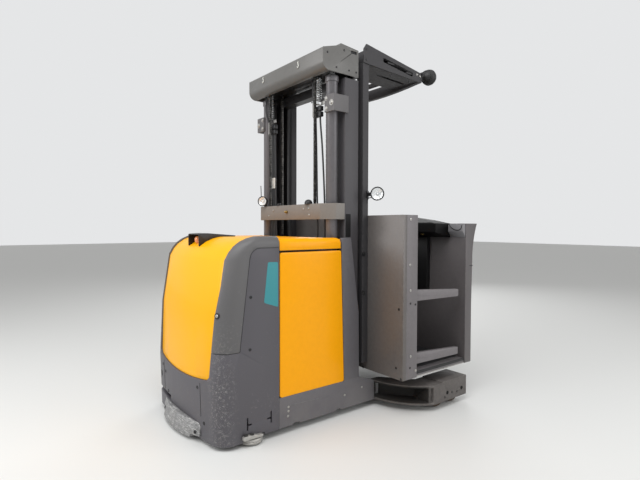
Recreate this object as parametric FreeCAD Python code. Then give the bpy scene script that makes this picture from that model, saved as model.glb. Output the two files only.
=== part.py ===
import FreeCAD, Part
import math
import os

# Order picker truck: rider's cab that climbs a two-stage mast, battery chassis with load arms.
# Millimetres. +X points to the load, +Z up, -Y is the driver's right. Origin on the floor, mid-length.

# Chassis
half_width = 450.0
ground_gap = 40.0
beam_top = 212.0
beam_nose_top = 166.0
beam_thick = 36.0
beam_start_x = -497.0
beam_end_x = 237.0
floor_plate = 12.0
bulkhead = 12.0
mast_bulkhead_x = -102.0
bulkhead_top_z = 1026.0
notch_height = 9.0
notch_spans = [(-402.0, -358.0), (-82.0, -51.0)]      # x from, x to
gusset_top_x = 30.0
gusset_top_z = 1098.0
gusset_knee_x = 97.0
gusset_knee_z = 633.0
gusset_foot_x = 103.0
gusset_root_gap = 3.0
cross_depth = 40.0
cross_top_z = 146.0
running_gap = 0.3
rod_sides = 24
drum_sides = 48
drum_r = 40.0

# Drive end: one plan outline, a wide nose arc between two corner arcs, shifted along x as it rises
skin_rows = [                                          # z, x at the middle of the nose
    (24.0, -890.0),
    (350.0, -900.0),
    (690.0, -884.0),
    (990.0, -838.0),
    (1032.0, -814.0),
    (1062.0, -787.0),
    (1086.0, -752.0),
    (1103.0, -712.0),
    (1114.0, -664.0),
]
nose_r = 2600.0
nose_steps = 4
corner_r = 90.0
corner_steps = 8
skin_round = 40.0
round_steps = 4
skin_hollow = [                                        # x behind the nose, inset from the side
    (32.0, 200.0),
    (60.0, 105.0),
    (110.0, 26.0),
]
hollow_lean = 16.0                                     # how much further back the hollow's top lies
hollow_rows = 6
skirt_rear = (-600.0, 37.0)                            # x from which the skirt ends higher, and its height
cover_recess = 9.0
skin_back_x = beam_start_x - 0.6
seam_gap = 0.6
hood_seam_z = 510.0
hood_seam_x = -742.0
hood_seam_top_x = -675.0
hood_seam_top_z = 1051.0
hood_seam_bend = 60.0
hood_seam_low_z = 545.0
cover_bottom_z = 334.0
cover_bow = 26.0
cover_low_inset = 94.0
cover_high_inset = 54.0
cover_high_z = 850.0
cover_corner = 22.0
slot_width = 9.0
slot_branch = 26.0
slot_x = [(-697.0, 82.0, 152.0, 1), (-550.0, 89.0, 155.0, -1)]   # x, z from, z to, side of the branch
brake_slot_z = (112.0, 144.0)
brake_slot_inset = (300.0, 25.0)

# Bumper plate, beacon
bumper_inset = 188.0
bumper_half = half_width - bumper_inset
bumper_z = (20.0, 108.0)
bumper_step = (70.0, 38.0)                             # width and height of the step at each end
bumper_front_x = -942.0
bumper_lean = 20.0
bumper_r = 750.0
bumper_steps = 12
beacon_x = -786.0
beacon_length = 235.0
beacon_y = 41.0
beacon_half = 80.0
beacon_top_z = 1126.0
beacon_front_low = 76.0
beacon_back_low = 42.0
beacon_lens_r = 26.0
beacon_lens_x = 34.0
beacon_lens_low = 40.0
beacon_wall = 8.0

# Battery, doors and lid
battery_x = (-482.0, -124.0)
battery_inset = 45.0
battery_top_z = 850.0
door_thick = 22.0
door_left_x = -492.0
door_right_top_x = -50.0
door_right_bottom_x = -24.0
door_top_z = 1022.0
door_bottom_z = beam_top + running_gap
door_corner = 14.0
lid_x = (-494.0, -54.0)
lid_z = (1034.0, 1100.0)
lid_round = 28.0
lid_end_round = 34.0
lid_wall = 8.0
lid_panel_end_x = -152.0
lid_ear = 32.0
lid_pin = (-40.0, 1076.0)
lid_pin_r = 7.0
lid_eye_r = 15.0

# Drive unit
drive_x = -690.0
drive_wheel_r = 155.0
drive_wheel_width = 112.0
drive_hub_r = 92.0
drive_hub_depth = 16.0
drive_axle_r = 24.0
gear_arm = 34.0
gear_gap = 5.0
gear_boss_r = 62.0
gear_top_half = 95.0
steer_ring_r = 150.0
motor_r = 105.0
motor_top_z = 690.0
turntable_z = (378.0, 402.0)
mount_plate = 16.0
mount_half = 230.0
mount_overhang = 160.0

# Guide rollers at the drive end
guide_x = -658.0
guide_inset = 38.0
guide_r = 64.0
guide_z = (6.0, 40.0)
guide_pin_r = 10.0
guide_bracket_z = (50.0, 68.0)
guide_bracket = (70.0, 60.0, 11.0)                     # reach ahead of the pin, inner width, outer width
guide_clear = 12.0

# Load arms and their wheels
arm_half = 762.0
arm_block_x = (454.0, 796.0)
arm_block_width = 162.0
arm_bottom_z = 43.0
arm_top_z = 166.0
arm_step = 5.0
arm_step_x = 540.0
arm_plate = 14.0
arm_root = 60.0
arm_bow = (68.0, 0.57)                                 # x past the root, share of the flare, on the outer arc
load_wheel_r = 72.0
load_wheel_width = 80.0
load_wheel_x = (548.0, 700.0)
load_wheel_inset = 82.0
load_wheel_clear = 6.0
load_axle_r = 14.0
arm_hole_r = 12.0
arm_hole_x = (593.0, 745.0)
arm_hole_z = 94.0
arm_hole_depth = 8.0

# Mast
upright_x = (-10.0, 100.0)
upright_half = half_width - 15.0
upright_web = 14.0
upright_flange = 16.0
upright_depth = 80.0
upright_bottom_z = ground_gap + floor_plate
upright_top_z = 2078.0
mast_clear = 6.0
inner_outer_y = upright_half - 22.0
inner_depth = 104.0
inner_web = 12.0
inner_flange = 12.0
inner_bottom_z = 152.0
inner_tie = 60.0
inner_tie_z = (172.0, 2040.0)
crossbar_z = (1212.0, 1310.0)
crossbar_x = -138.0
crossbar_thick = 12.0
crossbar_bend = 83.0
crossbar_side_x = -80.0
lower_tie_z = (230.0, 320.0)
lower_tie = 12.0
roller_play = 1.0
base_roller_z = 111.0
base_roller_width = 44.0
top_roller_z = 2046.0
roller_pin_r = 12.0
cylinder_x = -60.0
cylinder_y = upright_half - 67.0
barrel_r = 36.0
barrel_z = (225.0, 2088.0)
barrel_foot_half = 40.0
rod_r = 22.0
rod_low_z = 510.0
gland_r = 42.0
gland_height = 34.0
clamp_z = (1864.0, 1966.0)
clamp_thick = 14.0
clamp_strap = 10.0
clamp_strap_x = 10.0
clamp_inner_y = cylinder_y - 10.0
head_x = (-186.0, 100.0)
head_z = (2096.0, 2224.0)
head_top = [(-53.0, 2263.0), (-45.0, 2277.0), (100.0, 2264.0)]   # x, z along the top, after the rear edge
head_sheet = 8.0
head_half = upright_half
head_round = 52.0
head_hole = (61.0, 2243.0, 9.0, 50.0)                  # x, z, radius, length
head_beam_z = (2116.0, 2136.0)
inner_top_z = head_beam_z[0]
pulley_r = 44.0
pulley_width = 34.0
pulley_cheek = 10.0
pulley_cheek_reach = (14.0, 60.0, 16.0)                # behind, ahead of and above the pulley's middle
pulley_inset = 173.0
pulley_y = upright_half - pulley_inset
pulley_z = 2186.0
pulley_x = -60.0
chain_width = 22.0
chain_thick = 12.0
chain_slot = 3.0

# Cab
cab_half = 734.0
cab_rear_x = 194.0
cab_bottom_z = 240.0
deck_top_z = 274.0
mat_thick = 3.0
mat_edge = 4.0
rear_wall_thick = 30.0
rear_wall_top_z = 1239.0
rear_post_x = 322.0
rear_post_sheet = 6.0
post_inner_short = 10.0
front_wall_x = (816.0, 886.0)
front_wall_top_z = 1190.0
front_flare_x = 942.0
front_flare_start_z = 940.0
front_wall_knee_z = 640.0
front_wall_lean = (7.0, 22.0)                          # x past the foot: at the knee's end, at mid flare
front_wall_sheet = 16.0
console_x = (650.0, 816.0)
console_inset = 124.0
console_half = cab_half - console_inset
console_z = (1108.0, 1236.0)
console_front = 20.0
console_slope = 42.0
console_belly_z = 1094.0
console_crown = [(console_half, 1190.0), (480.0, 1214.0), (319.0, 1236.0)]   # half width, z along the top
tray_half = (console_half, cab_half - 4.0)             # y from, y to
tray_z = (1096.0, 1187.0)
tray_x = (786.0, 816.0)
tray_wall = 5.0
tray_scoop_z = 1136.0
column_half = 434.0
column_x = 780.0
column_z = 700.0
pad_half = 230.0
pad_z = (790.0, 1170.0)
pad_thick = 46.0
guard_post_x = (146.0, 194.0)
guard_post_y = (upright_half - 65.0, upright_half - 5.0)
guard_post_z = (290.0, 2200.9)
guard_half = upright_half - 1.0
guard_sheet = 8.0
guard_side = [(169.0, 2325.0, 6.0), (701.0, 2245.0, 10.0), (709.0, 2179.0, 10.0), (146.0, 2203.0, 0.0),
              (146.0, 2290.0, 10.0)]                   # x, z, corner radius
guard_slot = [(321.0, 2272.0), (612.0, 2232.0), (612.0, 2204.0), (321.0, 2243.0)]
guard_bar_x = [194.0, 372.0, 556.0]                    # rear edges of the cross members
guard_bar_width = 62.0
guard_bar_drop = 26.0
guard_bar_thick = 12.0
guard_front_bar = (34.0, 50.0, 26.0)                   # depth, height, sag of its foot at the middle
guard_front_steps = 4
guard_shelf_edge = 250.0                               # width of the plates under the roof
guard_shelf_thick = 5.0
guard_shelf_slot = (372.0, 640.0, -336.0, -312.0)      # x from, x to, y from, y to
guard_top_sheet = 4.0
guard_rear_bar_z = (2203.0, 2278.0)
slide_plate = 12.0
slide_gap = 6.0
slide_top_z = 610.0
slide_roller_z = (290.0, 560.0)
slide_roller_width = 40.0
slide_back = (14.0, 270.0, 590.0)                      # thickness, z from, z to
anchor_z = (546.0, 570.0)
anchor_cheek = 10.0

# Gates
gate_pivot_x = 270.0
gate_pivot_z = {"upper": 747.0, "lower": 355.0}
gate_end_x = 763.0
gate_root_height = 74.0
gate_end_height = 48.0
gate_drop = 22.0
gate_heel = 20.0
gate_thick = 26.0
gate_y = cab_half - 30.0
gate_pin_r = 8.0
gate_clear = 6.0

# Fork carriage
carriage_half = 330.0
carriage_plate = 24.0
carriage_plate_y = 190.0
carriage_plate_half = 60.0
carriage_z = (110.0, 630.0)
fork_bar_z = (140.0, 547.0)
fork_bar_height = 76.0
fork_bar_proud = 30.0

# Lamps
ball_lamp_r = 58.0
ball_lamp_z = guard_side[1][1] - 10.0
ball_lamp_y = upright_half - 5.0
ball_lamp_gap = 26.0
ball_stalk_r = 11.0
ball_stalk_drop = 36.0
globe_rings = 8
globe_sides = 16
work_lamp_r = 46.0
mast_lamp_r = 36.0
work_lamp_depth = 52.0
mast_lamp_at = (cylinder_y - 80.0, 1347.0)             # y, z
cab_lamp_at = (-upright_half - 85.0, 1374.0)           # y, z
cab_lamp_back = 20.0
lamp_arm = 24.0
lamp_foot = 12.0


def box(x0, x1, y0, y1, z0, z1):
    return Part.makeBox(x1 - x0, y1 - y0, z1 - z0, FreeCAD.Vector(x0, y0, z0))


def round_z(x, y, z0, z1, r):
    return Part.makeCylinder(r, z1 - z0, FreeCAD.Vector(x, y, z0), FreeCAD.Vector(0, 0, 1))


def round_y(x, y0, y1, z, r):
    return Part.makeCylinder(r, y1 - y0, FreeCAD.Vector(x, y0, z), FreeCAD.Vector(0, 1, 0))


def other_side(shape):
    return shape.mirror(FreeCAD.Vector(0, 0, 0), FreeCAD.Vector(0, 1, 0))


def both_sides(shape):
    return [shape, other_side(shape)]


def pair(shape):
    return Part.makeCompound(both_sides(shape))


def fuse(shapes):
    first, rest = shapes[0], list(shapes[1:])
    return (first.multiFuse(rest) if rest else first).removeSplitter()


def cut_all(shape, cutters):
    for cutter in cutters:
        shape = shape.cut(cutter)
    return shape


def rounded_wire(corners, place):
    # corners: (a, b, radius) in order; place turns (a, b) into a vector
    count = len(corners)
    points = [place(a, b) for a, b, _ in corners]
    starts, ends, mids = [], [], []
    for i, (_, _, radius) in enumerate(corners):
        here = points[i]
        back = (points[i - 1] - here).normalize()
        ahead = (points[(i + 1) % count] - here).normalize()
        if radius <= 0:
            starts.append(here)
            ends.append(here)
            mids.append(None)
            continue
        half_angle = back.getAngle(ahead) / 2
        reach = radius / math.tan(half_angle)
        centre = here + (back + ahead).normalize() * (radius / math.sin(half_angle))
        starts.append(here + back * reach)
        ends.append(here + ahead * reach)
        mids.append(centre + (here - centre).normalize() * radius)
    edges = []
    for i in range(count):
        if mids[i] is not None:
            edges.append(Part.Arc(starts[i], mids[i], ends[i]).toShape())
        following = starts[(i + 1) % count]
        if (following - ends[i]).Length > 1e-6:
            edges.append(Part.makeLine(ends[i], following))
    return Part.Wire(edges)


def prism_y(corners, y0, y1):
    wire = rounded_wire(corners, lambda a, b: FreeCAD.Vector(a, y0, b))
    return Part.Face(wire).extrude(FreeCAD.Vector(0, y1 - y0, 0))


def prism_z(corners, z0, z1):
    wire = rounded_wire(corners, lambda a, b: FreeCAD.Vector(a, b, z0))
    return Part.Face(wire).extrude(FreeCAD.Vector(0, 0, z1 - z0))


def prism_x(corners, x0, x1):
    wire = rounded_wire(corners, lambda a, b: FreeCAD.Vector(x0, a, b))
    return Part.Face(wire).extrude(FreeCAD.Vector(x1 - x0, 0, 0))


def sharp(points):
    return [(a, b, 0.0) for a, b in points]


def arc_points(a, b, radius, start, end, steps):
    # short straight lengths on a circle round (a, b); angles in radians
    turns = [start + (end - start) * i / steps for i in range(steps + 1)]
    return [(a + radius * math.cos(t), b + radius * math.sin(t)) for t in turns]


def ring_corners(a, b, r):
    # axles, bores and drums of short flats; wheels, hinge pins and bolt holes are truly round
    sides = rod_sides if r < drum_r else drum_sides
    return sharp(arc_points(a, b, r, 0, 2 * math.pi, sides)[:-1])


def rod_z(x, y, z0, z1, r):
    return prism_z(ring_corners(x, y, r), z0, z1)


def rod_y(x, y0, y1, z, r):
    return prism_y(ring_corners(x, z, r), y0, y1)


def rod_x(x0, x1, y, z, r):
    return prism_x(ring_corners(y, z, r), x0, x1)


def round_top(half, top, radius, steps):
    # corners of a section with a flat foot and a rounded top, mirrored about the middle
    right = arc_points(half - radius, top - radius, radius, 0, math.pi / 2, steps)
    return sharp([(-half, 0), (half, 0)] + right + [(-a, b) for a, b in reversed(right)])


def ball(centre, radius):
    # a lamp globe of flat facets
    rings = []
    for i in range(1, globe_rings):
        turn = math.pi * i / globe_rings
        ring = arc_points(0, 0, radius * math.sin(turn), 0, 2 * math.pi, globe_sides)[:-1]
        rings.append([centre + FreeCAD.Vector(a, b, -radius * math.cos(turn)) for a, b in ring])
    faces = [Part.Face(Part.makePolygon(ring + [ring[0]])) for ring in (rings[0], rings[-1])]
    for low, high in zip(rings, rings[1:]):
        for i in range(globe_sides):
            j = (i + 1) % globe_sides
            faces.append(Part.Face(Part.makePolygon([low[i], low[j], high[j], high[i], low[i]])))
    return Part.makeSolid(Part.makeShell(faces))


# Drive end: lower skin, grey hood rim and the yellow cover set into it


def plan_face(inset):
    # plan outline with the middle of the nose at x 0, open ended past the back
    half = half_width - inset
    corner = corner_r - inset
    reach = math.sqrt((nose_r - corner) ** 2 - (half - corner) ** 2)
    slant = math.atan2(half - corner, reach)
    nose = arc_points(nose_r, 0, nose_r, math.pi, math.pi - slant, nose_steps)
    bend = arc_points(nose_r - reach, half - corner, corner, math.pi - slant, math.pi / 2, corner_steps)
    left = nose + bend[1:] + [(half_width * 2, half)]
    right = [(x, -y) for x, y in reversed(left[1:])]
    points = [FreeCAD.Vector(x, y, 0) for x, y in left + right]
    return Part.Face(Part.makePolygon(points + [points[0]]))


def stacked(face, rows):
    layers = []
    for (low, low_x), (high, high_x) in zip(rows, rows[1:]):
        layer = face.copy()
        layer.translate(FreeCAD.Vector(low_x, 0, low))
        layers.append(layer.extrude(FreeCAD.Vector(high_x - low_x, 0, high - low)))
    ends_x = box(skin_rows[0][1] * 2, skin_back_x, -half_width, half_width, 0, lid_z[1] * 2)
    return layers[0].multiFuse(layers[1:]).common(ends_x)


def skin_body(inset):
    half = half_width - inset
    top = skin_rows[-1][0] - inset
    rows = [(z - (inset if z > cover_high_z else 0), x + inset) for z, x in skin_rows]
    crown = prism_x(round_top(half, top, skin_round - inset, round_steps), skin_rows[0][1] * 2, skin_back_x)
    return stacked(plan_face(inset), rows).common(crown)


def skin_inside():
    back = half_width * 2
    left = [(x, half_width - inset) for x, inset in reversed(skin_hollow)]
    left = [(back, left[0][1])] + left
    outline = left + [(x, -y) for x, y in reversed(left)]
    points = [FreeCAD.Vector(x, y, 0) for x, y in outline]
    rows = [(skin_rows[0][0] - 1, skin_rows[0][1])]
    rows += [(z, x + (hollow_lean if z > cover_high_z else 0)) for z, x in skin_rows[1:hollow_rows]]
    return stacked(Part.Face(Part.makePolygon(points + [points[0]])), rows)


def cover_cutter(grow):
    half_low = half_width - cover_low_inset + grow
    half_high = half_width - cover_high_inset + grow
    low = cover_bottom_z - grow
    side = low + cover_bow
    front = beacon_x * 2
    top = lid_z[1] * 2

    def at(y, z):
        return FreeCAD.Vector(front, y, z)

    shoulder = cover_corner * (half_high - half_low) / (cover_high_z - side)
    wire = Part.Wire([
        Part.Arc(at(-half_low + cover_corner, side), at(0, low), at(half_low - cover_corner, side)).toShape(),
        Part.makeLine(at(half_low - cover_corner, side), at(half_low + shoulder, side + cover_corner)),
        Part.makeLine(at(half_low + shoulder, side + cover_corner), at(half_high, cover_high_z)),
        Part.makeLine(at(half_high, cover_high_z), at(half_high, top)),
        Part.makeLine(at(half_high, top), at(-half_high, top)),
        Part.makeLine(at(-half_high, top), at(-half_high, cover_high_z)),
        Part.makeLine(at(-half_high, cover_high_z), at(-half_low - shoulder, side + cover_corner)),
        Part.makeLine(at(-half_low - shoulder, side + cover_corner), at(-half_low + cover_corner, side)),
    ])
    return Part.Face(wire).extrude(FreeCAD.Vector(skin_back_x + 1 - front, 0, 0))


def hood_region(grow):
    front = beacon_x * 2
    top = lid_z[1] * 2
    corners = [
        (front, hood_seam_low_z - grow, 0),
        (hood_seam_x - 70 + grow, hood_seam_z - grow, 0),
        (hood_seam_x + grow, hood_seam_z - grow, 8),
        (hood_seam_top_x + grow, hood_seam_top_z - grow, hood_seam_bend),
        (skin_back_x + 1, hood_seam_top_z - grow, 0),
        (skin_back_x + 1, top, 0),
        (front, top, 0),
    ]
    return prism_y(corners, -half_width - 1, half_width + 1)


def skin_slots():
    cutters = []
    deep = half_width * 2
    for x, low, high, side in slot_x:
        middle = (low + high) / 2
        branch = sorted((x, x + side * slot_branch))
        for cutter in (box(x - slot_width / 2, x + slot_width / 2, -deep, -half_width / 2, low, high),
                       box(branch[0], branch[1], -deep, -half_width / 2, middle - slot_width, middle)):
            cutters += both_sides(cutter)
    inner, outer = brake_slot_inset
    cutters.append(box(skin_rows[0][1] * 2, drive_x, half_width - inner, half_width - outer, *brake_slot_z))
    return cutters


def drive_end():
    inside = skin_inside()
    full = skin_body(0).cut(inside)
    cover = skin_body(cover_recess).cut(inside).common(cover_cutter(0))
    rest = full.cut(cover_cutter(seam_gap))
    rim = rest.common(hood_region(0))
    guide_y = half_width - guide_inset
    pocket = rod_z(guide_x, -guide_y, 0, guide_bracket_z[0], guide_r + guide_clear)
    rear = box(skirt_rear[0], skin_back_x + 1, -half_width - 1, half_width + 1, 0, skirt_rear[1])
    skin = cut_all(rest.cut(hood_region(seam_gap)), both_sides(pocket) + skin_slots() + [rear])
    return skin, rim, cover


def bumper():
    # a leaning steel plate bowed across the nose, its lower corners stepped up
    step, step_z = bumper_step
    low, high = bumper_z
    slant = math.asin(bumper_half / bumper_r)
    bow = arc_points(bumper_front_x + bumper_r, 0, bumper_r, math.pi - slant, math.pi + slant, bumper_steps)
    back = skin_rows[0][1] + corner_r
    outline = sharp(bow + [(back, -bumper_half), (back, bumper_half)])
    wire = rounded_wire(outline, lambda x, y: FreeCAD.Vector(x, y, low))
    plate = Part.Face(wire).extrude(FreeCAD.Vector(bumper_lean, 0, high - low))
    end = box(skin_rows[0][1] * 2, skin_back_x, bumper_half - step, half_width, 0, step_z)
    nose = skin_body(0)
    foot = skin_body(0)
    foot.translate(FreeCAD.Vector(0, 0, low - skin_rows[0][0]))
    return cut_all(plate, both_sides(end) + [nose, foot])


def beacon():
    x0 = beacon_x
    x1 = beacon_x + beacon_length
    top = beacon_top_z
    foot = top - beacon_front_low
    hood = prism_y([(x0, foot, 0), (x1, top - beacon_back_low, 0), (x1, top - 14, 4), (x0 + 60, top, 20),
                    (x0, top - 4, 8)], beacon_y - beacon_half, beacon_y + beacon_half)
    inner = beacon_half - beacon_wall
    mouth = box(x0 - 1, x0 + 2 * beacon_lens_x, beacon_y - inner, beacon_y + inner, foot, top - beacon_wall)
    return hood.cut(mouth).cut(skin_body(cover_recess))


def lens():
    centre = FreeCAD.Vector(beacon_x + beacon_lens_x, beacon_y, beacon_top_z - beacon_lens_low)
    return ball(centre, beacon_lens_r).cut(skin_body(cover_recess))


# Chassis: two side beams on a floor plate, bulkheads round the battery, gussets beside the mast


def side_beams():
    bottom = [(beam_start_x, ground_gap)]
    for start, end in notch_spans:
        bottom += [(start, ground_gap), (start, ground_gap + notch_height)]
        bottom += [(end, ground_gap + notch_height), (end, ground_gap)]
    outline = bottom + [(beam_end_x, ground_gap), (beam_end_x, beam_nose_top), (gusset_foot_x, beam_top),
                        (beam_start_x, beam_top)]
    return prism_y(sharp(outline), beam_thick - half_width, -half_width)


def chassis_frame():
    inside = half_width - beam_thick
    floor = box(beam_start_x, upright_x[1] + 10, -inside, inside, ground_gap, ground_gap + floor_plate)
    cross = box(beam_end_x - cross_depth, beam_end_x, -inside, inside, ground_gap, cross_top_z)
    floor_top = ground_gap + floor_plate
    socket = box(*upright_x, -upright_half, -upright_half + upright_depth, floor_top, beam_top + 1)
    return cut_all(fuse(both_sides(side_beams()) + [floor, cross]), both_sides(socket))


def bulkheads():
    bottom = ground_gap + floor_plate
    wide = half_width - door_thick - running_gap
    low = half_width - beam_thick
    outline = sharp([(-low, bottom), (low, bottom), (low, beam_top), (wide, beam_top), (wide, bulkhead_top_z),
                     (-wide, bulkhead_top_z), (-wide, beam_top), (-low, beam_top)])
    y0 = -cylinder_y - barrel_foot_half
    y1 = -cylinder_y + barrel_foot_half
    foot = box(mast_bulkhead_x, upright_x[0], y0, y1, bottom, barrel_z[0])
    return Part.makeCompound(both_sides(foot) + [
        prism_x(outline, beam_start_x, beam_start_x + bulkhead),
        prism_x(outline, mast_bulkhead_x - bulkhead, mast_bulkhead_x)])


def gussets():
    plate = prism_y(sharp([(door_right_bottom_x + gusset_root_gap, beam_top), (gusset_foot_x, beam_top),
                           (gusset_knee_x, gusset_knee_z), (gusset_top_x, gusset_top_z),
                           (door_right_top_x + gusset_root_gap, gusset_top_z)]), -half_width, -upright_half)
    pin = round_y(lid_pin[0], -half_width + 2, lid_ear / 2 - upright_half, lid_pin[1], lid_pin_r)
    return pair(plate.fuse(pin))


def guide_brackets():
    reach, inner, outer = guide_bracket
    guide_y = half_width - guide_inset
    low, high = guide_bracket_z
    plate = box(guide_x - reach, beam_start_x, -guide_y - outer, inner - guide_y, low, high)
    pin = rod_z(guide_x, -guide_y, guide_z[0], low, guide_pin_r)
    return pair(plate.fuse(pin))


def arm():
    beam_y = -half_width
    inner = half_width - beam_thick
    x0, x1 = arm_block_x
    root = beam_end_x + arm_root
    block_y = arm_block_width - arm_half
    bow = FreeCAD.Vector(beam_end_x + arm_bow[0], beam_y - arm_bow[1] * (arm_half - half_width), 0)

    def plate(z0, z1):
        def at(x, y):
            return FreeCAD.Vector(x, y, 0)

        wire = Part.Wire([
            Part.Arc(at(beam_end_x, beam_y), bow, at(x0, -arm_half)).toShape(),
            Part.makeLine(at(x0, -arm_half), at(x1, -arm_half)),
            Part.makeLine(at(x1, -arm_half), at(x1, block_y)),
            Part.makeLine(at(x1, block_y), at(x0, block_y)),
            Part.makeLine(at(x0, block_y), at(root, -inner)),
            Part.makeLine(at(root, -inner), at(beam_end_x, -inner)),
            Part.makeLine(at(beam_end_x, -inner), at(beam_end_x, beam_y)),
        ])
        face = Part.Face(wire)
        face.translate(FreeCAD.Vector(0, 0, z0))
        return face.extrude(FreeCAD.Vector(0, 0, z1 - z0))

    low = arm_bottom_z
    high = arm_top_z
    wheel_y = load_wheel_inset - arm_half
    reach = load_wheel_width / 2 + load_wheel_clear
    gap = load_wheel_r + load_wheel_clear + 4
    bottom = plate(low, low + arm_plate)
    first, last = load_wheel_x
    bottom = bottom.cut(box(first - gap, last + gap, wheel_y - reach, wheel_y + reach, 0, high))
    raised = box(arm_step_x, x1, -arm_half, block_y, high, high + arm_step)
    outer = box(x0, x1, -arm_half, -arm_half + arm_plate, low, high)
    inner_wall = box(x0, x1, block_y - arm_plate, block_y, low, high)
    end = box(x1 - arm_plate, x1, -arm_half, block_y, low, high)
    slant = math.atan2(-inner - block_y, x0 - root)
    web = Part.makeBox(math.hypot(x0 - root, -inner - block_y), arm_plate, high - low)
    web.rotate(FreeCAD.Vector(0, 0, 0), FreeCAD.Vector(0, 0, 1), -math.degrees(slant))
    web.translate(FreeCAD.Vector(root, -inner - arm_plate, low))
    rib = box(x0 - 6, x0 + 8, -arm_half + arm_plate, block_y, low, high)
    stay = prism_x(sharp([(-arm_half + arm_plate, low), (block_y - arm_plate, low),
                          (-arm_half + arm_plate, high)]), x0 - 26, x0 - 12)
    pieces = [bottom, plate(high - arm_plate, high), raised, outer, inner_wall, end, web, rib,
              box(beam_end_x, beam_end_x + arm_plate, beam_y, -inner, low, high)]
    for x in load_wheel_x:
        pieces.append(rod_y(x, -arm_half + 2, block_y - 2, load_wheel_r, load_axle_r))
    holes = [round_y(x, -arm_half - 1, -arm_half + arm_hole_depth, arm_hole_z, arm_hole_r) for x in arm_hole_x]
    return cut_all(fuse(pieces + [stay]), holes)


def load_wheel(x):
    y = load_wheel_inset - arm_half
    half = load_wheel_width / 2
    tyre = round_y(x, y - half, y + half, load_wheel_r, load_wheel_r)
    return tyre.cut(rod_y(x, y - half - 1, y + half + 1, load_wheel_r, load_axle_r + running_gap))


def guide_roller():
    guide_y = half_width - guide_inset
    tyre = round_z(guide_x, -guide_y, guide_z[0], guide_z[1], guide_r)
    return tyre.cut(rod_z(guide_x, -guide_y, guide_z[0] - 1, guide_z[1] + 1, guide_pin_r + running_gap))


# Battery compartment


def door():
    corners = [
        (door_left_x, door_bottom_z, door_corner),
        (door_right_bottom_x, door_bottom_z, door_corner),
        (door_right_top_x, door_top_z, door_corner),
        (door_left_x, door_top_z, door_corner),
    ]
    return prism_y(corners, -half_width, door_thick - half_width)


def lid():
    x0, x1 = lid_x
    z0, z1 = lid_z
    ends = prism_y([(x0, z0, 0), (x1, z0, 0), (x1, z1, lid_end_round), (x0, z1, 0)], -half_width, half_width)
    solid = prism_x(round_top(half_width, z1, lid_round, round_steps), x0, x1).common(ends)
    hollow = prism_x(round_top(half_width - lid_wall, z1 - lid_wall, lid_round - lid_wall, round_steps),
                     x0 + lid_wall, lid_panel_end_x - lid_wall)
    ear_inner = upright_half - lid_ear / 2
    solid = solid.cut(hollow)
    solid = solid.cut(box(lid_panel_end_x, x1 + 1, -ear_inner, ear_inner, z0 - 1, z1 + 1))
    ear_outer = upright_half - running_gap
    pin_x, pin_z = lid_pin
    eye = fuse([box(lid_panel_end_x, pin_x, ear_inner, ear_outer, pin_z - lid_eye_r, pin_z + lid_eye_r),
                rod_y(pin_x, ear_inner, ear_outer, pin_z, lid_eye_r)])
    bore = rod_y(pin_x, ear_inner - 2, upright_half + 2, pin_z, lid_pin_r + running_gap)
    return cut_all(fuse([solid] + both_sides(eye)), both_sides(bore))


# Drive unit


def drive_gear():
    low, high = turntable_z
    ring = round_z(drive_x, 0, low, high - running_gap, steer_ring_r)
    near = drive_wheel_width / 2 + gear_gap
    far = near + gear_arm
    top = gear_top_half
    leg = prism_y(sharp([(drive_x - gear_boss_r, drive_wheel_r), (drive_x + gear_boss_r, drive_wheel_r),
                         (drive_x + top, low), (drive_x - top, low)]), near, far)
    boss = rod_y(drive_x, near, far, drive_wheel_r, gear_boss_r)
    axle = rod_y(drive_x, drive_hub_depth + 4 - drive_wheel_width / 2, near, drive_wheel_r, drive_axle_r)
    bridge = box(drive_x - top, drive_x + top, -gear_boss_r, far, drive_wheel_r * 2 + 12, low)
    return fuse([ring, leg, boss, axle, bridge])


def drive_wheel():
    half = drive_wheel_width / 2
    tyre = round_y(drive_x, -half, half, drive_wheel_r, drive_wheel_r)
    hub = drive_hub_depth - half
    tyre = tyre.cut(rod_y(drive_x, -half - 1, hub, drive_wheel_r, drive_hub_r))
    return tyre.cut(rod_y(drive_x, hub, half + 1, drive_wheel_r, drive_axle_r + running_gap))


# Mast. Each inner upright is an I-beam that runs inside the channel of the outer upright. Rollers at its foot
# run in the channel, and rollers at the top of the channel run in its outer groove.
# The cab's slide runs on rollers in the inner groove.


def upright():
    x0, x1 = upright_x
    channel = box(x0, x1, -upright_half, -upright_half + upright_depth, upright_bottom_z, upright_top_z)
    return channel.cut(box(x0 + upright_flange, x1 - upright_flange, -upright_half + upright_web,
                           -upright_half + upright_depth + 1, upright_bottom_z - 1, upright_top_z + 1))


def crossbar():
    inner = upright_half - crossbar_thick
    bend_y = upright_half - crossbar_bend
    bend = [(crossbar_x, -bend_y), (crossbar_side_x, -upright_half), (upright_x[0], -upright_half),
            (upright_x[0], -inner), (crossbar_side_x + crossbar_thick / 2, -inner),
            (crossbar_x + crossbar_thick, crossbar_thick / 3 - bend_y)]
    mirrored = [(x, -y) for x, y in reversed(bend)]
    return prism_z(sharp(bend + mirrored), crossbar_z[0], crossbar_z[1])


def clamp():
    # a plate across the cylinder and a strap along the upright's outer face
    front = cylinder_x - barrel_r
    outer = -upright_half - clamp_strap
    plate = box(front - clamp_thick, front, outer, -clamp_inner_y, clamp_z[0], clamp_z[1])
    strap = box(front, clamp_strap_x, outer, -upright_half, clamp_z[0], clamp_z[1])
    return plate.fuse(strap)


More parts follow.
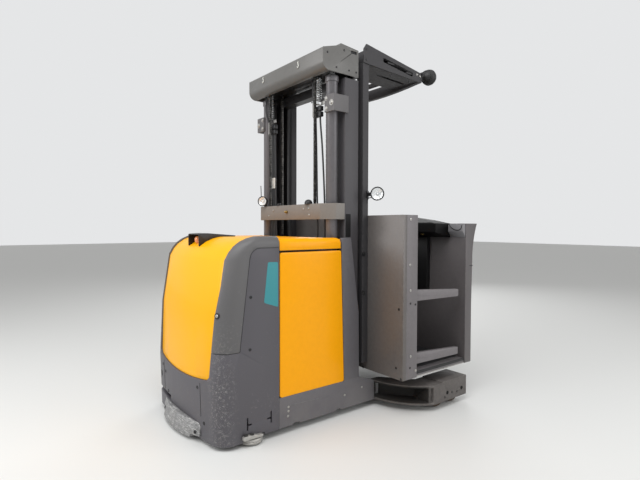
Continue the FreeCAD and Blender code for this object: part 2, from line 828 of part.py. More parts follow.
def barrel():
    pipe = rod_z(cylinder_x, -cylinder_y, barrel_z[0], barrel_z[1], barrel_r)
    gland = rod_z(cylinder_x, -cylinder_y, barrel_z[1] - gland_height, barrel_z[1], gland_r)
    bore = rod_z(cylinder_x, -cylinder_y, rod_low_z - barrel_r, barrel_z[1] + 1, rod_r + running_gap)
    return pipe.fuse(gland).cut(bore)


inner_x = (upright_x[0] + upright_flange + mast_clear, upright_x[1] - upright_flange - mast_clear)
groove_r = (inner_x[1] - inner_x[0]) / 2 - inner_flange - roller_play
inner_edge = inner_outer_y - inner_depth
mast_middle_x = (inner_x[0] + inner_x[1]) / 2


def inner_upright():
    x0, x1 = inner_x
    y0 = -inner_outer_y
    y1 = -inner_edge
    middle = (y0 + y1) / 2
    beam = box(x0, x1, y0, y1, inner_bottom_z, inner_top_z)
    groove_x = (x0 + inner_flange, x1 - inner_flange)
    for low, high in ((y0 - 1, middle - inner_web / 2), (middle + inner_web / 2, y1 + 1)):
        beam = beam.cut(box(*groove_x, low, high, inner_bottom_z - 1, inner_top_z + 1))
    return beam


def inner_ties():
    x0, x1 = inner_x
    ties = [box(x0, x1, -inner_edge, inner_edge, z, z + inner_tie) for z in inner_tie_z]
    reach = head_half - head_sheet - running_gap
    beam_head = box(cylinder_x - 40, x1, -reach, reach, head_beam_z[0], head_beam_z[1])
    near = pulley_x + pulley_r
    slot = box(near - chain_slot, near + chain_thick + chain_slot, -pulley_y - chain_width / 2 - chain_slot,
               -pulley_y + chain_width / 2 + chain_slot, head_z[0], head_z[1])
    return ties, cut_all(beam_head, both_sides(slot))


def base_roller():
    r = (upright_x[1] - upright_x[0]) / 2 - upright_flange - roller_play
    wheel = rod_y(mast_middle_x, -inner_outer_y, base_roller_width - inner_outer_y, base_roller_z, r)
    pin = rod_y(mast_middle_x, base_roller_width - inner_outer_y, -inner_edge, base_roller_z, roller_pin_r)
    low = base_roller_z - roller_pin_r - 6
    tab = box(*inner_x, -inner_edge - inner_flange * 2, -inner_edge, low, inner_bottom_z)
    return fuse([wheel, pin, tab])


def top_roller():
    web = -upright_half + upright_web
    middle = -inner_outer_y + (inner_depth - inner_web) / 2
    wheel = rod_y(mast_middle_x, -inner_outer_y + 2, middle - 2, top_roller_z, groove_r)
    return wheel.fuse(rod_y(mast_middle_x, web, -inner_outer_y + 2, top_roller_z, roller_pin_r))


def rod():
    return rod_z(cylinder_x, -cylinder_y, rod_low_z, head_beam_z[0], rod_r)


def head_cover():
    # sheet cap over the pulleys, open to the load side and below
    x0, x1 = head_x
    z0, z1 = head_z
    s = head_sheet
    outer = [(x0, z1, 10)] + sharp(head_top) + [(x1, z0, 0), (x0, z0, head_round)]
    under = [(x, z - s) for x, z in head_top[:-1]] + [(x1 + 1, head_top[-1][1] - s)]
    inner = [(x0 + s, z1 - s, 0)] + sharp(under) + [(x1 + 1, z0 - 1, 0), (x0 + 60, z0 - 1, 0),
                                                    (x0 + 60, z0 + s, 0), (x0 + s, z0 + s, head_round - s)]
    cap = prism_y(outer, -head_half, head_half).cut(prism_y(inner, s - head_half, head_half - s))
    x, z, r, length = head_hole
    left = x - length / 2
    right = x + length / 2
    hole = prism_y([(left, z - r, r - 1), (right, z - r, r - 1), (right, z + r, r - 1), (left, z + r, r - 1)],
                   -head_half - 1, s - head_half + 1)
    return cut_all(cap, both_sides(hole))


def pulley():
    y0 = -pulley_y - pulley_width / 2
    y1 = -pulley_y + pulley_width / 2
    wheel = rod_y(pulley_x, y0, y1, pulley_z, pulley_r)
    back, ahead, rise = pulley_cheek_reach
    cheek = box(pulley_x - back, pulley_x + ahead, y0 - pulley_cheek, y0, head_beam_z[1], pulley_z + rise)
    return wheel.fuse(cheek)


def chain_strand(x, low):
    return box(x, x + chain_thick, -pulley_y - chain_width / 2, -pulley_y + chain_width / 2, low, pulley_z)


def chains():
    rear = chain_strand(pulley_x - pulley_r - chain_thick, crossbar_z[1])
    front = chain_strand(pulley_x + pulley_r, anchor_z[0])
    return Part.makeCompound(both_sides(rear) + both_sides(front))


# Cab


def cab_floor():
    edge = cab_half - rear_post_sheet
    return box(cab_rear_x + rear_wall_thick, front_wall_x[0], -edge, edge, cab_bottom_z, deck_top_z)


def floor_mat():
    edge = gate_y - gate_thick / 2 - gate_clear - rear_post_sheet - 8
    rear = cab_rear_x + rear_wall_thick
    return box(rear + mat_edge, front_wall_x[0] - mat_edge, -edge, edge, deck_top_z, deck_top_z + mat_thick)


def cab_rear_wall():
    return box(cab_rear_x, cab_rear_x + rear_wall_thick, -cab_half, cab_half, cab_bottom_z, rear_wall_top_z)


def side_post():
    x0 = cab_rear_x + rear_wall_thick
    inner_y = gate_thick / 2 + gate_clear - gate_y
    x1 = rear_post_x
    outer = box(x0, x1, -cab_half, -cab_half + rear_post_sheet, cab_bottom_z, rear_wall_top_z)
    inner = box(x0, x1 - post_inner_short, inner_y, inner_y + rear_post_sheet, deck_top_z, rear_wall_top_z)
    pins = [round_y(gate_pivot_x, -cab_half + 1, inner_y + 1, z, gate_pin_r) for z in gate_pivot_z.values()]
    return fuse([outer, inner] + pins)


def cab_front_wall():
    x0, x1 = front_wall_x
    knee, flare = front_wall_lean
    middle_z = (front_flare_start_z + front_wall_top_z) / 2 + 20

    def at(x, z):
        return FreeCAD.Vector(x, -cab_half, z)

    outline = Part.Wire([
        Part.makeLine(at(x0, cab_bottom_z), at(x1, cab_bottom_z)),
        Part.makeLine(at(x1, cab_bottom_z), at(x1, front_wall_knee_z)),
        Part.makeLine(at(x1, front_wall_knee_z), at(x1 + knee, front_flare_start_z)),
        Part.Arc(at(x1 + knee, front_flare_start_z), at(x1 + flare, middle_z),
                 at(front_flare_x, front_wall_top_z)).toShape(),
        Part.makeLine(at(front_flare_x, front_wall_top_z), at(x0, front_wall_top_z)),
        Part.makeLine(at(x0, front_wall_top_z), at(x0, cab_bottom_z)),
    ])
    wall = Part.Face(outline).extrude(FreeCAD.Vector(0, 2 * cab_half, 0))
    t = front_wall_sheet
    return wall.cut(box(x0 + t, x1 - t + 6, -cab_half + 2 * t, cab_half - 2 * t, cab_bottom_z - 1,
                        front_wall_top_z - t))


def console():
    # side profile with a sloping belly, arched across the cab
    x0, x1 = console_x
    z0, z1 = console_z
    profile = [(x0, z0 + console_front, 8), (x1 - running_gap, console_belly_z, 0), (x1 - running_gap, z1, 0),
               (x1 - 50, z1, 20), (x0, z1 - console_slope, 14)]
    arch = [(-y, z) for y, z in console_crown] + [(y, z) for y, z in reversed(console_crown)]
    arch += [(console_half, console_belly_z - 1), (-console_half, console_belly_z - 1)]
    return prism_y(profile, -console_half, console_half).common(prism_x(sharp(arch), x0, x1))


def tray():
    # shallow wedge on the front wall, scooped out from above
    x0, x1 = tray_x
    z0, z1 = tray_z
    y0, y1 = tray_half
    back = x1 - running_gap
    solid = prism_y([(x0, tray_scoop_z, 6), (back, z0, 0), (back, z1, 0), (x0, z1 - tray_wall, 0)], y0, y1)
    scoop = box(x0 + tray_wall, back - tray_wall, y0 + tray_wall, y1 - tray_wall, tray_scoop_z, z1 + 1)
    return pair(solid.cut(scoop))


def column():
    return box(column_x, front_wall_x[0] - running_gap, -column_half, column_half, column_z,
               console_belly_z - running_gap)


def back_pad():
    x0 = cab_rear_x + rear_wall_thick
    x1 = x0 + pad_thick
    section = [(x0, pad_z[0], 4), (x1, pad_z[0], 20), (x1, pad_z[1], 20), (x0, pad_z[1], 4)]
    return prism_y(section, -pad_half, pad_half)


def guard_post():
    x0, x1 = guard_post_x
    return box(x0, x1, -guard_post_y[1], -guard_post_y[0], guard_post_z[0], guard_post_z[1])


def guard():
    rear_top, front_top, front_low = guard_side[0], guard_side[1], guard_side[2]
    slope = (front_top[1] - rear_top[1]) / (front_top[0] - rear_top[0])
    edge = guard_half - guard_sheet
    side = prism_y(guard_side, -guard_half, -edge)
    side = side.cut(prism_y([(x, z, 8.0) for x, z in guard_slot], -guard_half - 1, 1 - edge))
    pieces = both_sides(side)
    for x in guard_bar_x:
        top = rear_top[1] + slope * (x + guard_bar_width - rear_top[0]) - guard_bar_drop
        pieces.append(box(x, x + guard_bar_width, -edge - 1, edge + 1, top - guard_bar_thick, top))
    depth, height, sag = guard_front_bar
    x1 = front_top[0]
    low = front_low[1]
    share = [i / guard_front_steps for i in range(-guard_front_steps, guard_front_steps + 1)]
    foot = [(t * (edge + 1), low + sag * (t * t - 1)) for t in share]
    front_bar = foot + [(edge + 1, low + height), (-edge - 1, low + height)]
    pieces.append(prism_x(sharp(front_bar), x1 - depth, x1))
    rear_low = guard_side[3]
    fall = (front_low[1] - rear_low[1]) / (front_low[0] - rear_low[0])

    def foot_at(x):
        return rear_low[1] + fall * (x - rear_low[0]) + 2

    def roof_at(x):
        return rear_top[1] + slope * (x - rear_top[0]) - guard_bar_drop - guard_top_sheet + 1

    def sheet(height_at, thick):
        ends = (guard_post_x[1] + 4, x1 - depth + 1)
        low_edge = [(x, height_at(x)) for x in ends]
        high_edge = [(x, height_at(x) + thick) for x in reversed(ends)]
        return prism_y(sharp(low_edge + high_edge), -edge - 1, guard_shelf_edge - edge)

    slot_x0, slot_x1, slot_y0, slot_y1 = guard_shelf_slot
    shelf = sheet(foot_at, guard_shelf_thick)
    pieces += both_sides(shelf.cut(box(slot_x0, slot_x1, slot_y0, slot_y1, low - 10, low + height)))
    pieces += both_sides(sheet(roof_at, guard_top_sheet))
    low, high = guard_rear_bar_z
    rear = guard_post_x[0] + 2
    pieces.append(box(rear, rear + guard_bar_thick, -edge - 1, edge + 1, low, high))
    return fuse(pieces)


# Slide that carries the cab in the inner mast, with the anchors of the lift chains


def slide_plates():
    x_in = inner_x[0] + inner_flange
    y0 = slide_gap - inner_edge
    y1 = y0 + slide_plate
    plate = box(x_in, cab_rear_x, y0, y1, cab_bottom_z, slide_top_z)
    near = pulley_x + pulley_r
    low, high = anchor_z
    chain_half = chain_width / 2
    arms = []
    for inside in (-pulley_y - chain_half - anchor_cheek, -pulley_y + chain_half):
        arms.append(box(near - 4, x_in + 12, inside, inside + anchor_cheek, low, high))
    arms.append(box(x_in, x_in + 12, y1 - 1, -pulley_y + chain_half + anchor_cheek, low, high))
    return fuse([plate] + arms)


def slide_rollers():
    y1 = slide_gap - inner_edge
    wheels = []
    for z in slide_roller_z:
        wheels.append(rod_y(mast_middle_x, y1 - slide_roller_width, y1, z, groove_r))
    return Part.makeCompound(both_sides(wheels[0]) + both_sides(wheels[1]))


def slide_back_plate():
    thick, low, high = slide_back
    edge = inner_edge - slide_gap - slide_plate
    return box(cab_rear_x - thick, cab_rear_x, -edge, edge, low, high)


def gate_bar(level):
    z = gate_pivot_z[level]
    x0 = gate_pivot_x - gate_heel
    end = z - gate_drop
    outline = [(x0, z - gate_root_height / 2, 14), (gate_end_x, end - gate_end_height / 2, 10),
               (gate_end_x, end + gate_end_height / 2, 10), (x0, z + gate_root_height / 2, 14)]
    bar = prism_y(outline, -gate_y - gate_thick / 2, -gate_y + gate_thick / 2)
    return bar.cut(rod_y(gate_pivot_x, -cab_half, -gate_y + gate_thick, z, gate_pin_r + running_gap))


def fork_carriage():
    x0 = front_wall_x[1]
    face = x0 + carriage_plate
    plates = [box(x0, face, y - carriage_plate_half, y + carriage_plate_half, carriage_z[0], carriage_z[1])
              for y in (-carriage_plate_y, carriage_plate_y)]
    bars = [box(face, face + fork_bar_proud, -carriage_half, carriage_half, z, z + fork_bar_height)
            for z in fork_bar_z]
    return fuse(plates + bars)


def work_lamp(x, y, z, r):
    return rod_x(x, x + work_lamp_depth, y, z, r)


os.makedirs("parts", exist_ok=True)
skin, rim, cover = drive_end()
battery_half = half_width - battery_inset
battery = box(*battery_x, -battery_half, battery_half, ground_gap + floor_plate, battery_top_z)
motor = rod_z(drive_x, 0, turntable_z[1] + mount_plate, motor_top_z, motor_r)
mount_z = turntable_z[1]
mount = box(drive_x - mount_overhang, beam_start_x, -mount_half, mount_half, mount_z, mount_z + mount_plate)
lamp_y, lamp_z = mast_lamp_at
lamp_x = pulley_x - pulley_r - chain_thick - mast_clear - work_lamp_depth
mast_lamp = fuse([work_lamp(lamp_x, lamp_y, lamp_z, mast_lamp_r),
                  box(crossbar_x, crossbar_x + crossbar_thick, lamp_y - lamp_foot, lamp_y + lamp_foot,
                      crossbar_z[1], lamp_z)])
side_y, side_z = cab_lamp_at
cab_lamp = fuse([work_lamp(guard_post_x[1] - cab_lamp_back, side_y, side_z, work_lamp_r),
                 box(guard_post_x[1] - lamp_arm, guard_post_x[1] - 4, side_y, -guard_post_y[1],
                     side_z - lamp_arm, side_z + lamp_arm)])
low_tie = box(upright_x[0] - lower_tie, upright_x[0], -upright_half, upright_half, *lower_tie_z)
arm_shape = arm()
post = side_post()
ties, beam_head = inner_ties()
ball_centre = FreeCAD.Vector(guard_side[1][0] + ball_lamp_r + ball_lamp_gap, -ball_lamp_y, ball_lamp_z)
roof = guard()
stalk_z = ball_lamp_z - ball_stalk_drop
lamp_stalk = rod_x(guard_side[1][0], ball_centre.x, -ball_lamp_y, stalk_z, ball_stalk_r).cut(roof)
nodes = {
    "chassis_frame": chassis_frame(),
    "bulkheads": bulkheads(),
    "mast_gussets": gussets(),
    "guide_brackets": guide_brackets(),
    "drive_skin": skin,
    "hood_rim": rim,
    "hood_cover": cover,
    "bumper_plate": bumper(),
    "beacon_housing": beacon(),
    "beacon_lens": lens(),
    "battery": battery,
    "drive_motor": motor,
    "drive_mount": mount,
    "battery_doors": pair(door()),
    "arm_right": arm_shape,
    "arm_left": other_side(arm_shape),
    "mast_outer": Part.makeCompound(both_sides(upright()) + [low_tie]),
    "mast_crossbar": crossbar(),
    "cylinder_clamps": pair(clamp()),
    "lift_cylinders": pair(barrel()),
    "top_rollers": pair(top_roller()),
    "mast_lamp": mast_lamp,
    "battery_lid": lid(),
    "drive_gear": drive_gear(),
    "drive_wheel": drive_wheel(),
    "guide_roller_right": guide_roller(),
    "guide_roller_left": other_side(guide_roller()),
    "mast_inner": Part.makeCompound(both_sides(inner_upright()) + ties),
    "head_beam": beam_head,
    "base_rollers": pair(base_roller()),
    "lift_rods": pair(rod()),
    "mast_head": head_cover(),
    "chain_pulleys": pair(pulley()),
    "lift_chains": chains(),
    "cab_floor": cab_floor(),
    "floor_mat": floor_mat(),
    "cab_rear_wall": cab_rear_wall(),
    "cab_posts": pair(post),
    "cab_front_wall": cab_front_wall(),
    "cab_console": console(),
    "console_trays": tray(),
    "cab_column": column(),
    "back_pad": back_pad(),
    "guard_posts": pair(guard_post()),
    "guard_roof": roof,
    "slide_plates": pair(slide_plates()),
    "slide_rollers": slide_rollers(),
    "slide_back": slide_back_plate(),
    "fork_carriage": fork_carriage(),
    "cab_lamp": cab_lamp,
    "guard_lamp": fuse([ball(ball_centre, ball_lamp_r), lamp_stalk]),
}
for number, x in enumerate(load_wheel_x):
    wheel = load_wheel(x)
    nodes["load_wheel_right_%d" % (number + 1)] = wheel
    nodes["load_wheel_left_%d" % (number + 1)] = other_side(wheel)
for level in gate_pivot_z:
    bar = gate_bar(level)
    nodes["gate_right_" + level] = bar
    nodes["gate_left_" + level] = other_side(bar)
for name, shape in nodes.items():
    shape.exportStep("parts/%s.step" % name)
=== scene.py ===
import math
import bmesh
import bpy
from mathutils import Matrix, Vector
from mathutils.bvhtree import BVHTree


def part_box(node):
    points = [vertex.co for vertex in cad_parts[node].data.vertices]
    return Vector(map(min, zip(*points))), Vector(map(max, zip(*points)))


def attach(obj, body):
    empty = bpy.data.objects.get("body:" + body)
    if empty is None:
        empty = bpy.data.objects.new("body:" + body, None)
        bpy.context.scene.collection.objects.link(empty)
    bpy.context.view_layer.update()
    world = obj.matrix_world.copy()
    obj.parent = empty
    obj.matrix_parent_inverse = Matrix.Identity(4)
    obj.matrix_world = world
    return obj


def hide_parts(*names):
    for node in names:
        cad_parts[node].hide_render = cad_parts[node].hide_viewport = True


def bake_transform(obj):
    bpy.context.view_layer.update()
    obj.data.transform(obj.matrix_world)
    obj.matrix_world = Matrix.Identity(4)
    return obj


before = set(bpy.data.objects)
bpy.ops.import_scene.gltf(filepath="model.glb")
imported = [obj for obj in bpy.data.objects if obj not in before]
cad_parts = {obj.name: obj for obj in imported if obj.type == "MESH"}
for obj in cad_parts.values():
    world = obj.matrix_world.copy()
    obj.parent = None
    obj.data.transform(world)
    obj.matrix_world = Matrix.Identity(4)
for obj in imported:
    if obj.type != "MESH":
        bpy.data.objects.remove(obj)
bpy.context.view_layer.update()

# Studio
# A pale seamless floor and a white surround, lit by four broad soft lamps, as for a catalogue picture.
# The camera stands at the driver's right behind the drive end, at chest height.

camera_place = (-1.8889, -2.5923, 1.1692)
camera_turn = 38.0155
camera_dip = -1.708
camera_roll = 0.146
picture_width = 640
focal_pixels = 463.18


def hung(name, data):
    made = bpy.data.objects.new(name, data)
    bpy.context.collection.objects.link(made)
    return made


eye_data = bpy.data.cameras.new("eye")
eye_data.sensor_width = 36.0
eye_data.lens = focal_pixels * eye_data.sensor_width / picture_width
eye = hung("eye", eye_data)
eye.matrix_world = (
    Matrix.Translation(camera_place)
    @ Matrix.Rotation(math.radians(-camera_turn), 4, "Z")
    @ Matrix.Rotation(math.radians(90 + camera_dip), 4, "X")
    @ Matrix.Rotation(math.radians(camera_roll), 4, "Z")
)
bpy.context.scene.camera = eye
bpy.context.scene.view_settings.view_transform = "Standard"


def tint(red, green, blue):
    # a colour as the eye sees it, 0 to 255 each, turned into linear light
    return tuple(((c / 255 + 0.055) / 1.055) ** 2.4 for c in (red, green, blue)) + (1.0,)


def feed(tree, node, **values):
    # lower case names are the node's settings, the rest its sockets
    for name, value in values.items():
        if name[0].islower():
            setattr(node, name, value)
        elif isinstance(value, bpy.types.NodeSocket):
            tree.links.new(value, node.inputs[name.replace("_", " ")])
        else:
            node.inputs[name.replace("_", " ")].default_value = value


def put(tree, kind, **values):
    made = tree.nodes.new("ShaderNode" + kind)
    feed(tree, made, **values)
    return made


def worked(tree, operation, *values):
    # arithmetic on two or more values, one after the other
    result = values[0]
    for value in values[1:]:
        made = put(tree, "Math", operation=operation)
        tree.links.new(result, made.inputs[0])
        tree.links.new(value, made.inputs[1])
        result = made.outputs[0]
    return result


def noise(tree, place, scale, detail, roughness=0.5):
    return put(tree, "TexNoise", Vector=place, Scale=scale, Detail=detail, Roughness=roughness).outputs["Fac"]


def graded(tree, value, low, high, foot=0.0, top=1.0):
    # foot at low, top at high, and even in between
    return put(tree, "MapRange", Value=value, From_Min=low, From_Max=high, To_Min=foot, To_Max=top).outputs["Result"]


def mixed(tree, share, one, other):
    return put(tree, "MixRGB", Fac=share, Color1=one, Color2=other).outputs["Color"]


def shaded(colour, factor, lift=0.0):
    return tuple(min(1.0, c * factor + lift) for c in colour[:3]) + (1.0,)


def blank(name):
    # a new finish with its nodes, its shader and the place on the truck
    finish = bpy.data.materials.new(name)
    finish.use_nodes = True
    tree = finish.node_tree
    return finish, tree, tree.nodes["Principled BSDF"], put(tree, "TexCoord").outputs["Object"]


def soft_lamp(name, place, aim, width, power):
    data = bpy.data.lights.new(name, "AREA")
    data.size = width
    data.energy = power
    lamp = hung(name, data)
    lamp.location = place
    lamp.rotation_euler = (Vector(aim) - Vector(place)).to_track_quat("-Z", "Y").to_euler()


soft_lamp("lamp_above", (-1.8, -1.6, 4.4), (-0.1, 0.0, 0.6), 3.2, 120)
soft_lamp("lamp_right", (2.6, -4.6, 2.2), (0.1, 0.0, 0.7), 3.0, 78)
soft_lamp("lamp_left", (-4.6, 1.2, 2.8), (-0.3, 0.0, 1.0), 2.8, 95)
soft_lamp("lamp_behind", (4.4, 3.6, 3.2), (0.2, 0.0, 0.7), 3.4, 85)

# the surround gives a dim light, and looks white where it is seen, mirrored or seen through glass
surround = bpy.data.worlds.new("surround")
surround.use_nodes = True
bpy.context.scene.world = surround
sky = surround.node_tree
dim = sky.nodes["Background"]
feed(sky, dim, Color=(1.0, 0.99, 0.97, 1.0), Strength=0.42)
white = put(sky, "Background", Color=(0.98, 0.99, 1.0, 1.0), Strength=0.80)
rays = put(sky, "LightPath").outputs
mirrored = worked(sky, "MAXIMUM", rays["Is Glossy Ray"], rays["Is Transmission Ray"])
shown = put(sky, "MixShader", Fac=worked(sky, "MAXIMUM", rays["Is Camera Ray"], mirrored))
sky.links.new(dim.outputs[0], shown.inputs[1])
sky.links.new(white.outputs[0], shown.inputs[2])
sky.links.new(shown.outputs[0], sky.nodes["World Output"].inputs["Surface"])

floor_finish, tree, shader, place = blank("floor_finish")
cloud = put(tree, "TexNoise", Scale=1.3, Detail=3.0).outputs["Fac"]
feed(tree, shader, Roughness=0.55, Specular_IOR_Level=0.25,
     Base_Color=mixed(tree, cloud, tint(222, 223, 222), tint(232, 233, 232)))
floor_mesh = bpy.data.meshes.new("floor")
floor_mesh.from_pydata([(-30, -30, 0), (30, -30, 0), (30, 30, 0), (-30, 30, 0)], [], [(0, 1, 2, 3)])
floor_mesh.materials.append(floor_finish)
hung("floor", floor_mesh)

# Chassis
# Two flame-cut side beams on a floor plate, with bulkheads round the battery and gussets beside the mast,
# all welded and powder coated in a dark grey. Fork-lift traffic has left scuffs and dust low down.

bare_steel = tint(150, 147, 143)
floor_dust = tint(140, 136, 130)


def coated(name, colour, rough, worn=bare_steel, metal=0.0, gloss_coat=0.0, blotch=0.10, peel=(900.0, 0.00004),
           scuffs=0.25, edges=0.35, dust=0.25, dust_top=0.30, edge_width=0.004, shine=0.35):
    # paint or powder coat on steel: cloudy colour, fine peel, scuffs, chipped edges and dust near the floor
    finish, tree, shader, place = blank(name)
    cloud = noise(tree, place, 3.2, 5.0, 0.6)
    fine = noise(tree, place, 46.0, 6.0, 0.62)
    base = mixed(tree, cloud, shaded(colour, 1 - blotch), shaded(colour, 1 + blotch))
    speck = graded(tree, fine, 0.35, 0.7, 1 - blotch * 0.6, 1 + blotch * 0.6)
    base = put(tree, "HueSaturation", Color=base, Value=speck).outputs["Color"]
    # long fine scratches, only in patches
    drawn = put(tree, "Mapping", Vector=place, Rotation=(0.3, 0.2, 0.9), Scale=(5.0, 5.0, 190.0)).outputs["Vector"]
    lines = graded(tree, noise(tree, drawn, 2.0, 3.0, 0.7), 0.66, 0.74)
    scuffed = worked(tree, "MULTIPLY", lines, graded(tree, noise(tree, place, 5.5, 4.0), 0.52, 0.68, 0.0, scuffs))
    base = mixed(tree, scuffed, base, worn)
    # chips along the edges, where a rounded normal leans away from the flat one
    along = put(tree, "VectorMath", operation="DOT_PRODUCT")
    tree.links.new(put(tree, "Bevel", samples=4, Radius=edge_width).outputs["Normal"], along.inputs[0])
    tree.links.new(put(tree, "NewGeometry").outputs["Normal"], along.inputs[1])
    edge = graded(tree, along.outputs["Value"], 0.995, 0.86)
    base = mixed(tree, worked(tree, "MULTIPLY", edge, graded(tree, fine, 0.42, 0.62, 0.0, edges)), base, worn)
    # dust settles low down
    low = graded(tree, put(tree, "SeparateXYZ", Vector=place).outputs["Z"], dust_top, 0.0, 0.0, dust)
    base = mixed(tree, worked(tree, "MULTIPLY", low, graded(tree, cloud, 0.3, 0.6)), base, floor_dust)
    skin = put(tree, "Bump", Strength=0.6, Distance=peel[1], Height=noise(tree, place, peel[0], 2.0))
    deep = put(tree, "Bump", Strength=0.5, Distance=0.00025, Height=scuffed, Normal=skin.outputs["Normal"])
    feed(tree, shader, Base_Color=base, Roughness=graded(tree, fine, 0.3, 0.7, rough - 0.07, rough + 0.09),
         Metallic=metal, Specular_IOR_Level=shine, Coat_Weight=gloss_coat, Coat_Roughness=0.12,
         Normal=deep.outputs["Normal"])
    return finish


def rounding_nodes():
    # smooth shading inside each face, with a crease wherever two faces meet at an angle
    group = bpy.data.node_groups.new("rounding", "GeometryNodeTree")
    for way in ("INPUT", "OUTPUT"):
        group.interface.new_socket("Geometry", in_out=way, socket_type="NodeSocketGeometry")
    start, plain, faces, edges, end, angle, sharp = [group.nodes.new(kind) for kind in (
        "NodeGroupInput", "GeometryNodeRemoveAttribute", "GeometryNodeSetShadeSmooth", "GeometryNodeSetShadeSmooth",
        "NodeGroupOutput", "GeometryNodeInputMeshEdgeAngle", "FunctionNodeCompare")]
    plain.inputs["Name"].default_value = "custom_normal"
    sharp.data_type = "FLOAT"
    sharp.operation = "GREATER_THAN"
    sharp.inputs[1].default_value = math.radians(31)
    edges.domain = "EDGE"
    edges.inputs["Shade Smooth"].default_value = False
    for one, other in ((start, plain), (plain, faces), (faces, edges), (edges, end)):
        group.links.new(one.outputs[0], other.inputs[0])
    group.links.new(angle.outputs["Unsigned Angle"], sharp.inputs[0])
    group.links.new(sharp.outputs["Result"], edges.inputs["Selection"])
    return group


rounding = rounding_nodes()


def soften(piece, edge=0.0):
    # joins the facets, breaks the sharp edges by a millimetre or so and smooths the curved faces
    piece.modifiers.new("joined", "WELD").merge_threshold = 0.00002
    if edge:
        broken = piece.modifiers.new("broken_edges", "BEVEL")
        broken.width = edge
        broken.segments = 2
        broken.limit_method = "ANGLE"
        broken.angle_limit = math.radians(35)
        broken.use_clamp_overlap = False
    piece.modifiers.new("smooth", "NODES").node_group = rounding


def dress(names, finish, edge=0.0):
    for name in names.split():
        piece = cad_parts[name]
        for place in piece.material_slots:
            place.material = finish
        soften(piece, edge)


def fitted(name, body, finish, shape, edge=0.0, stands_for=None):
    # one modelled piece from its filled shape, with its finish, on the body that carries it (none: left without a body)
    bmesh.ops.recalc_face_normals(shape, faces=shape.faces)
    mesh = bpy.data.meshes.new(name)
    shape.to_mesh(mesh)
    shape.free()
    mesh.materials.append(finish)
    piece = hung(name, mesh)
    soften(piece, edge)
    if body:
        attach(piece, body)
    if stands_for:
        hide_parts(stands_for)
    return piece


def round_angles(count, spin=0.0):
    return [2 * math.pi * (i + spin) / count for i in range(count)]


def walled(shape, low, high):
    # faces between two rings of corners; a ring of one corner is a tip
    count = max(len(low), len(high))
    for i in range(count):
        j = (i + 1) % count
        corners = [low[i % len(low)], low[j % len(low)], high[j % len(high)], high[i % len(high)]]
        corners = list(dict.fromkeys(corners))
        if len(corners) > 2:
            shape.faces.new(corners)


def turned(shape, centre, axis, profile, sides=32, spin=0.0):
    # a lathe-turned form: (distance along the axis, radius) from one end to the other
    turn = Vector((0, 0, 1)).rotation_difference(Vector(axis).normalized()).to_matrix()
    rings = []
    for along, radius in profile:
        angles = round_angles(sides, spin) if radius > 1e-6 else [0.0]
        corners = [Vector((radius * math.cos(t), radius * math.sin(t), along)) for t in angles]
        rings.append([shape.verts.new(Vector(centre) + turn @ corner) for corner in corners])
    for low, high in zip(rings, rings[1:]):
        walled(shape, low, high)
    for ring in (rings[0], rings[-1]):
        if len(ring) > 2:
            shape.faces.new(ring)


def turned_piece(name, body, finish, centre, axis, *profiles, sides=32, stands_for=None):
    shape = bmesh.new()
    for profile in profiles:
        turned(shape, centre, axis, profile, sides)
    return fitted(name, body, finish, shape, stands_for=stands_for)


def block(shape, low, high, turn=None, about=(0, 0, 0)):
    for vert in bmesh.ops.create_cube(shape, size=1.0)["verts"]:
        vert.co = Vector([l + (c + 0.5) * (h - l) for l, h, c in zip(low, high, vert.co)])
        if turn:
            vert.co = turn @ (vert.co - Vector(about)) + Vector(about)


def bolt(shape, spot, facing, radius, washer=1.7, height=0.62):
    # hexagon head on a round washer
    turned(shape, spot, facing, [(-0.002, radius * washer), (radius * 0.2, radius * washer)], 24)
    turned(shape, spot, facing, [
        (radius * 0.2, radius), (radius * height, radius), (radius * (height + 0.12), radius * 0.82)], 6, 0.25)


def socket_screw(shape, spot, facing, radius):
    # domed screw with a recessed drive
    turned(shape, spot, facing, [
        (-0.002, radius), (radius * 0.22, radius), (radius * 0.42, radius * 0.8), (radius * 0.46, radius * 0.42),
        (radius * 0.16, radius * 0.36), (radius * 0.16, 0)], 20)


def on_sides(shape, fixing, spots, y, *sizes):
    # the same screw, bolt or turned form at each (x, z) on both sides of the truck, facing outward (y under 0: inward)
    for x, z in spots:
        for side in (-1, 1):
            fixing(shape, (x, side * abs(y), z), (0, side if y > 0 else -side, 0), *sizes)


def on_face(node, start, way):
    # the place and the outward direction where a line from start meets a CAD piece
    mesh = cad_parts[node].data
    tree = BVHTree.FromPolygons([v.co for v in mesh.vertices], [tuple(p.vertices) for p in mesh.polygons])
    spot, facing, _, _ = tree.ray_cast(Vector(start), Vector(way).normalized())
    return spot, (facing if facing.dot(Vector(way)) < 0 else -facing)


def plate(shape, outline, thick):
    # thin sheet: its outline in space, raised by thick along the direction it faces
    base = [Vector(p) for p in outline]
    facing = (base[1] - base[0]).cross(base[2] - base[1]).normalized() * thick
    low = [shape.verts.new(p - facing * 0.5) for p in base]
    high = [shape.verts.new(p + facing) for p in base]
    shape.faces.new(low)
    shape.faces.new(high)
    walled(shape, low, high)


def rounded(corners, radius, steps=5):
    # a flat outline in space with its corners rounded
    points = [Vector(p) for p in corners]
    outline = []
    for i, here in enumerate(points):
        back = (points[i - 1] - here).normalized() * radius
        ahead = (points[(i + 1) % len(points)] - here).normalized() * radius
        for k in range(steps + 1):
            t = k / steps
            outline.append(here + back * (1 - t) ** 2 + ahead * t ** 2)
    return outline


def side_plates(shape, corners, y, radius, thick, steps=5):
    # a sheet with rounded corners (x, z) on both sides of the truck; from its right the corners run anticlockwise
    for side in (-1, 1):
        outline = [(x, side * y, z) for x, z in corners]
        plate(shape, rounded(outline[::-side], radius, steps), thick)


